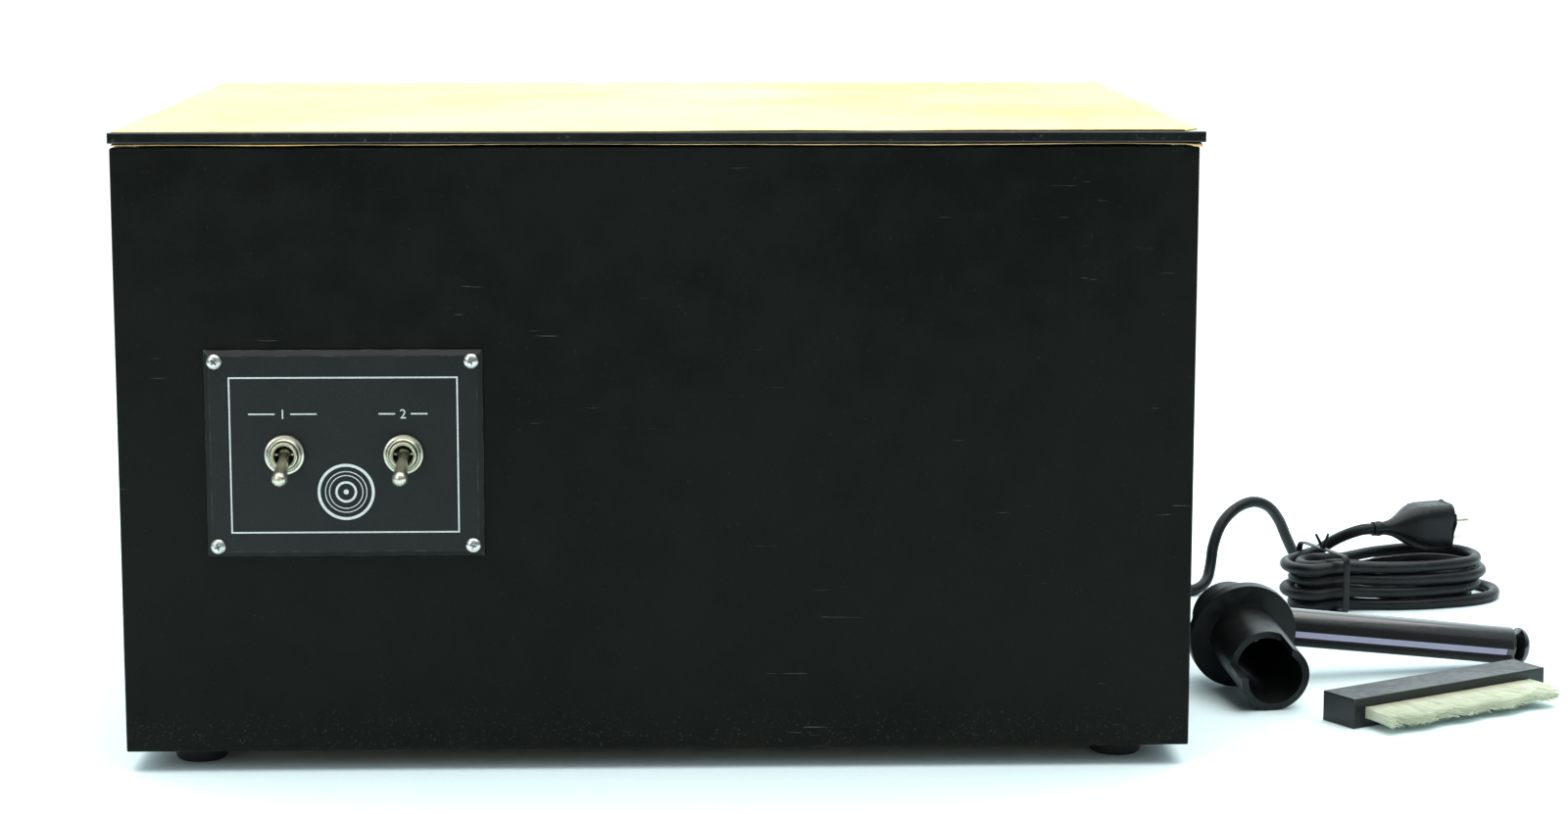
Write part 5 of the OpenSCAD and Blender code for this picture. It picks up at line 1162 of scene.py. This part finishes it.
def one_bristle():
    """A thin three-sided bristle of unit length along Z, with its tip tapered."""
    bm = bmesh.new()
    bmesh.ops.create_cone(bm, cap_ends=True, segments=3, radius1=1, radius2=0.45, depth=1)
    bmesh.ops.translate(bm, verts=bm.verts, vec=(0, 0, 0.5))
    sides = [e for e in bm.edges if abs(e.verts[0].co.z - e.verts[1].co.z) > 0.5]
    bmesh.ops.subdivide_edges(bm, edges=sides, cuts=4)
    return bm


def bristle_shift(fx, fz, s):
    """How far a bristle has strayed from its root after the share s of its length."""
    along = BRISTLE_FLARE * (2 * fx - 0.8) * s * s
    out = -BRISTLE_LEN * s * (1 - 0.06 * math.sin(fx * 8 * math.pi))
    droop = (fz - 1) * 0.4 * MM * s - BRISTLE_SAG * s * s
    return Vector((along, out, droop))


def make_bristles(material):
    """Several thousand bristles in staggered rows, each with its own lean and length."""
    pattern = one_bristle()
    mesh = bpy.data.meshes.new("pattern")
    pattern.to_mesh(mesh)
    pattern.free()
    bm = bmesh.new()
    tone = bm.verts.layers.float.new("tone")
    along = bm.verts.layers.float.new("along")
    columns, rows = BRISTLES
    root_z = (BRUSH_H - FIELD_H) / 2
    floor_gap = 0.35 * MM
    for i in range(columns):
        for j in range(rows):
            fx = (i + 0.5 + 0.35 * random.uniform(-1, 1)) / columns
            fz = (j + 0.5 + 0.4 * random.uniform(-1, 1)) / rows
            length = random.uniform(0.9, 1.02)
            lean = Vector((random.gauss(0, 0.7), 0, random.gauss(0, 0.45))) * MM
            thick = random.uniform(0.13, 0.2) * MM
            shade = random.random()
            before = len(bm.verts)
            bm.from_mesh(mesh)
            bm.verts.ensure_lookup_table()
            root = Vector((FIELD_FROM + (FIELD_TO - FIELD_FROM) * fx, 1.5 * MM, root_z + FIELD_H * fz))
            for v in bm.verts[before:]:
                s = v.co.z
                shift = bristle_shift(fx, fz, s * length)
                centre = root + shift + lean * s * s
                centre.y -= 1.5 * MM * min(s * 4, 1)
                v[tone] = shade
                v[along] = s
                v.co = centre + Vector((v.co.x, 0, v.co.y)) * thick
                v.co.z = max(v.co.z, floor_gap)
    bpy.data.meshes.remove(mesh)
    bmesh.ops.transform(bm, matrix=BRUSH_FRAME, verts=bm.verts)
    made = piece("bristle_tufts", bm, material, "brush", sharp=80)
    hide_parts("brush_bristles")
    return made


# Dressing of the carried-over pieces

def make_finishes():
    """A finish for every material slot of the record."""
    steel = finish("zinc_steel", (0.62, 0.62, 0.6), (0.5, 0.5, 0.48), (0.22, 0.38), (700.0, 0.000008),
                   (0.0002, 0.5), (0.8, 0.8, 0.78), metal=1.0, smudge_scale=60.0)
    return {
        "vinyl_black": cabinet_vinyl(),
        "raw_board": wood("pressed_board", (0.3, 0.2, 0.11), (0.2, 0.13, 0.07), 220.0, 0.7),
        "softwood": wood("planed_softwood", (0.6, 0.42, 0.22), (0.48, 0.3, 0.14), 70.0, 0.6),
        "deck_black": finish("deck_laminate", (0.012, 0.012, 0.012), (0.018, 0.018, 0.018), (0.35, 0.5),
                             (1200.0, 0.00003), (0.0006, 0.4), (0.08, 0.08, 0.08)),
        "screw_steel": steel,
        "foot_rubber": finish("foot_rubber", (0.006, 0.006, 0.006), (0.012, 0.012, 0.012), (0.6, 0.8),
                              (1500.0, 0.00003), (0.0005, 0.5), (0.04, 0.04, 0.04)),
        "black_plastic": finish("moulded_plastic", (0.008, 0.008, 0.008), (0.013, 0.013, 0.013), (0.35, 0.5),
                                (1800.0, 0.00002), (0.0004, 0.4), (0.05, 0.05, 0.05), shine=0.22),
        # The pale colour on the lid's softened edges is a painted glint, not wear.
        "acrylic": finish("dark_acrylic", (0.004, 0.005, 0.005), (0.006, 0.007, 0.007), (0.06, 0.2),
                          (300.0, 0.000004), (0.0006, 0.5), (0.14, 0.14, 0.115), smudge_scale=40.0),
        "masking_paper_top": top_masking_paper(),
        "masking_paper_under": under_masking_paper(),
        "clear_bumper": clear_rubber(),
        "hinge_steel": steel,
        # The pale bluish colour on most of the panel's bevelled edges is mostly a painted reflection of the
        # bright surround, partly wear.
        "panel_black": finish("panel_anodised", (0.0072, 0.0088, 0.0078), (0.01, 0.012, 0.011), (0.38, 0.46),
                              (2200.0, 0.00002), (0.0007, 0.8), (0.15, 0.19, 0.19),
                              smudge_scale=9.0, shine=0.2),
        "switch_plastic": finish("switch_moulding", (0.012, 0.012, 0.012), (0.02, 0.02, 0.02), (0.3, 0.4),
                                 (900.0, 0.00001), (0.0003, 0.3)),
        "nickel": finish("nickel_plate", (0.6, 0.59, 0.48), (0.5, 0.49, 0.38), (0.26, 0.38),
                         (900.0, 0.000006), (0.0003, 0.4), (0.85, 0.82, 0.74), metal=1.0, smudge_scale=90.0),
        "cork_mat": cork(),
        "shaft_steel": finish("ground_steel", (0.62, 0.62, 0.63), (0.55, 0.55, 0.55), (0.15, 0.28),
                              (1500.0, 0.000004), (0.0002, 0.3), metal=1.0, smudge_scale=60.0),
        "bronze": finish("sintered_bronze", (0.5, 0.32, 0.12), (0.38, 0.24, 0.09), (0.35, 0.5),
                         (1500.0, 0.00002), (0.0002, 0.4), (0.7, 0.5, 0.24), metal=1.0, smudge_scale=60.0),
        "gear_plastic": finish("white_acetal", (0.76, 0.75, 0.68), (0.68, 0.66, 0.56), (0.35, 0.5),
                               (1200.0, 0.00001), (0.0003, 0.2)),
        "frame_steel": finish("zinc_sheet", (0.5, 0.5, 0.47), (0.42, 0.42, 0.38), (0.35, 0.5),
                              (300.0, 0.00001), (0.0004, 0.3), (0.62, 0.62, 0.6), metal=1.0, smudge_scale=30.0),
        "tank_plastic": finish("tank_polythene", (0.68, 0.7, 0.68), (0.6, 0.62, 0.56), (0.4, 0.55),
                               (500.0, 0.00003), (0.0008, 0.1)),
        "motor_housing": finish("cast_housing", (0.36, 0.37, 0.38), (0.28, 0.29, 0.3), (0.45, 0.6),
                                (900.0, 0.00006), (0.0006, 0.3), (0.6, 0.6, 0.6), metal=1.0),
        "terminal_plastic": finish("terminal_moulding", (0.72, 0.7, 0.6), (0.66, 0.63, 0.52), (0.4, 0.5),
                                   (900.0, 0.00001), (0.0003, 0.2)),
        "wire_sleeve": finish("wire_sleeve", (0.012, 0.012, 0.013), (0.02, 0.02, 0.02), (0.4, 0.55),
                              (900.0, 0.00001), (0.0002, 0.2)),
        "cord_black": finish("cord_sheath", (0.006, 0.007, 0.008), (0.011, 0.012, 0.013), (0.34, 0.5),
                             (900.0, 0.00002), (0.0003, 0.2), (0.03, 0.03, 0.03), smudge_scale=40.0,
                             shine=0.22),
        "brass_plate": finish("plated_brass", (0.86, 0.84, 0.72), (0.76, 0.72, 0.58), (0.28, 0.4),
                              (900.0, 0.000006), (0.0002, 0.4), (0.92, 0.9, 0.82), metal=1.0, smudge_scale=90.0),
        "gloss_tube": tube_gloss(),
        "pipe_black": finish("turned_plastic", (0.0045, 0.0055, 0.0055), (0.0075, 0.009, 0.009), (0.3, 0.46),
                             (700.0, 0.00001), (0.0005, 0.4), (0.04, 0.045, 0.05), smudge_scale=25.0,
                             shine=0.28),
        "velvet": velvet(),
        "brush_body": finish("brush_plastic", (0.005, 0.0075, 0.008), (0.009, 0.0115, 0.0115), (0.34, 0.46),
                             (900.0, 0.00002), (0.0005, 0.5), (0.1, 0.1, 0.09), smudge_scale=30.0, shine=0.4),
        "bristle_hair": bristles(),
    }


def dress(finishes):
    """Every carried-over piece takes the finish of its slot in the record."""
    for part in frame["record"]["subparts"]:
        slots = frame["nodes"][part["node"]].material_slots
        for held in slots:
            held.material = finishes[part["material_slot"]]


# Setting: pale table, soft studio light

FLOOR_SIZE = 5.0
FLOOR_MIDDLE = (0.1, 0.0)
FLOOR_FADE = (0.8, 1.7)


def make_floor():
    """A pale table top with a fine uneven weave, which fades into the white surround."""
    bm = bmesh.new()
    bmesh.ops.create_grid(bm, x_segments=1, y_segments=1, size=FLOOR_SIZE / 2)
    mesh = bpy.data.meshes.new("table_top")
    bm.to_mesh(mesh)
    bm.free()
    made, tree, shader = new_material("pale_table")
    here = object_place(tree)
    weave = add(tree, "TexNoise", {"Vector": here, "Scale": 260.0, "Detail": 4.0}).outputs["Fac"]
    patches = add(tree, "TexNoise", {"Vector": here, "Scale": 9.0, "Detail": 4.0}).outputs["Fac"]
    colours = blend_colours(tree, patches, (0.8, 0.95, 0.985, 1), (0.83, 0.96, 0.985, 1))
    tree.links.new(colours, shader["Base Color"])
    bump = add(tree, "Bump", {"Height": weave, "Distance": 0.0002}).outputs["Normal"]
    tree.links.new(bump, shader["Normal"])
    shader["Roughness"].default_value = 0.9
    shader["Specular IOR Level"].default_value = 0.2
    from_middle = add(tree, "VectorMath", {0: here, 1: (*FLOOR_MIDDLE, 0)}, operation="SUBTRACT").outputs[0]
    far = add(tree, "VectorMath", {0: from_middle}, operation="LENGTH").outputs["Value"]
    tree.links.new(between(tree, far, FLOOR_FADE[0], FLOOR_FADE[1], 1.0, 0.0), shader["Alpha"])
    mesh.materials.append(made)
    floor = bpy.data.objects.new("table_top", mesh)
    bpy.context.scene.collection.objects.link(floor)


def make_world():
    """An even white surround for the camera. What lights the object is bright behind it, paler above
    and dim in front."""
    world = bpy.data.worlds.new("surround")
    world.use_nodes = True
    bpy.context.scene.world = world
    tree = world.node_tree
    tree.nodes.clear()
    parts = add(tree, "SeparateXYZ", {0: add(tree, "TexCoord").outputs["Generated"]}).outputs
    above = between(tree, parts["Z"], 0.05, 0.9)
    behind = between(tree, parts["Y"], -0.1, 0.85)
    strength = maths(tree, "MULTIPLY_ADD", above, 0.66, maths(tree, "MULTIPLY_ADD", behind, 1.7, 0.2))
    light = add(tree, "Background", {"Color": (0.84, 0.97, 1.0, 1), "Strength": strength}).outputs[0]
    seen = add(tree, "Background", {"Color": (1.0, 1.0, 0.975, 1), "Strength": 1.15}).outputs[0]
    camera = add(tree, "LightPath").outputs["Is Camera Ray"]
    both = add(tree, "MixShader", {0: camera, 1: light, 2: seen}).outputs[0]
    out = tree.nodes.new("ShaderNodeOutputWorld")
    tree.links.new(both, out.inputs["Surface"])


def soft_box(name, at, aim, size, watts, colour):
    data = bpy.data.lights.new(name, "AREA")
    data.shape = "RECTANGLE"
    data.size, data.size_y = size
    data.energy = watts
    data.color = colour
    lamp = bpy.data.objects.new(name, data)
    way = Vector(aim) - Vector(at)
    lamp.matrix_world = Matrix.Translation(at) @ way.to_track_quat("-Z", "Y").to_matrix().to_4x4()
    bpy.context.scene.collection.objects.link(lamp)


def make_lights():
    soft_box("overhead_softbox", (0.1, -0.15, 1.7), (0.1, -0.1, 0), (2.6, 2.2), 50, (1.0, 0.98, 0.93))
    soft_box("left_front_softbox", (-1.6, -1.9, 1.0), (-0.1, -0.15, 0.12), (1.4, 1.2), 15, (0.98, 0.99, 1.0))


def build():
    place_camera()
    finishes = make_finishes()
    make_cords(finishes["cord_black"], finishes["black_plastic"], finishes["brass_plate"])
    dress(finishes)
    make_relief_boot(finishes["black_plastic"])
    make_top_paper(finishes["masking_paper_top"])
    make_under_paper(finishes["masking_paper_under"])
    make_panel_screws(finishes["screw_steel"])
    make_nuts(finishes["nickel"])
    make_bushings(finishes["nickel"])
    make_panel_print(print_ink())
    make_velvet_strips(finishes["velvet"])
    make_bristles(finishes["bristle_hair"])
    make_floor()
    make_world()
    make_lights()
    bpy.context.scene.view_settings.view_transform = "Standard"


build()
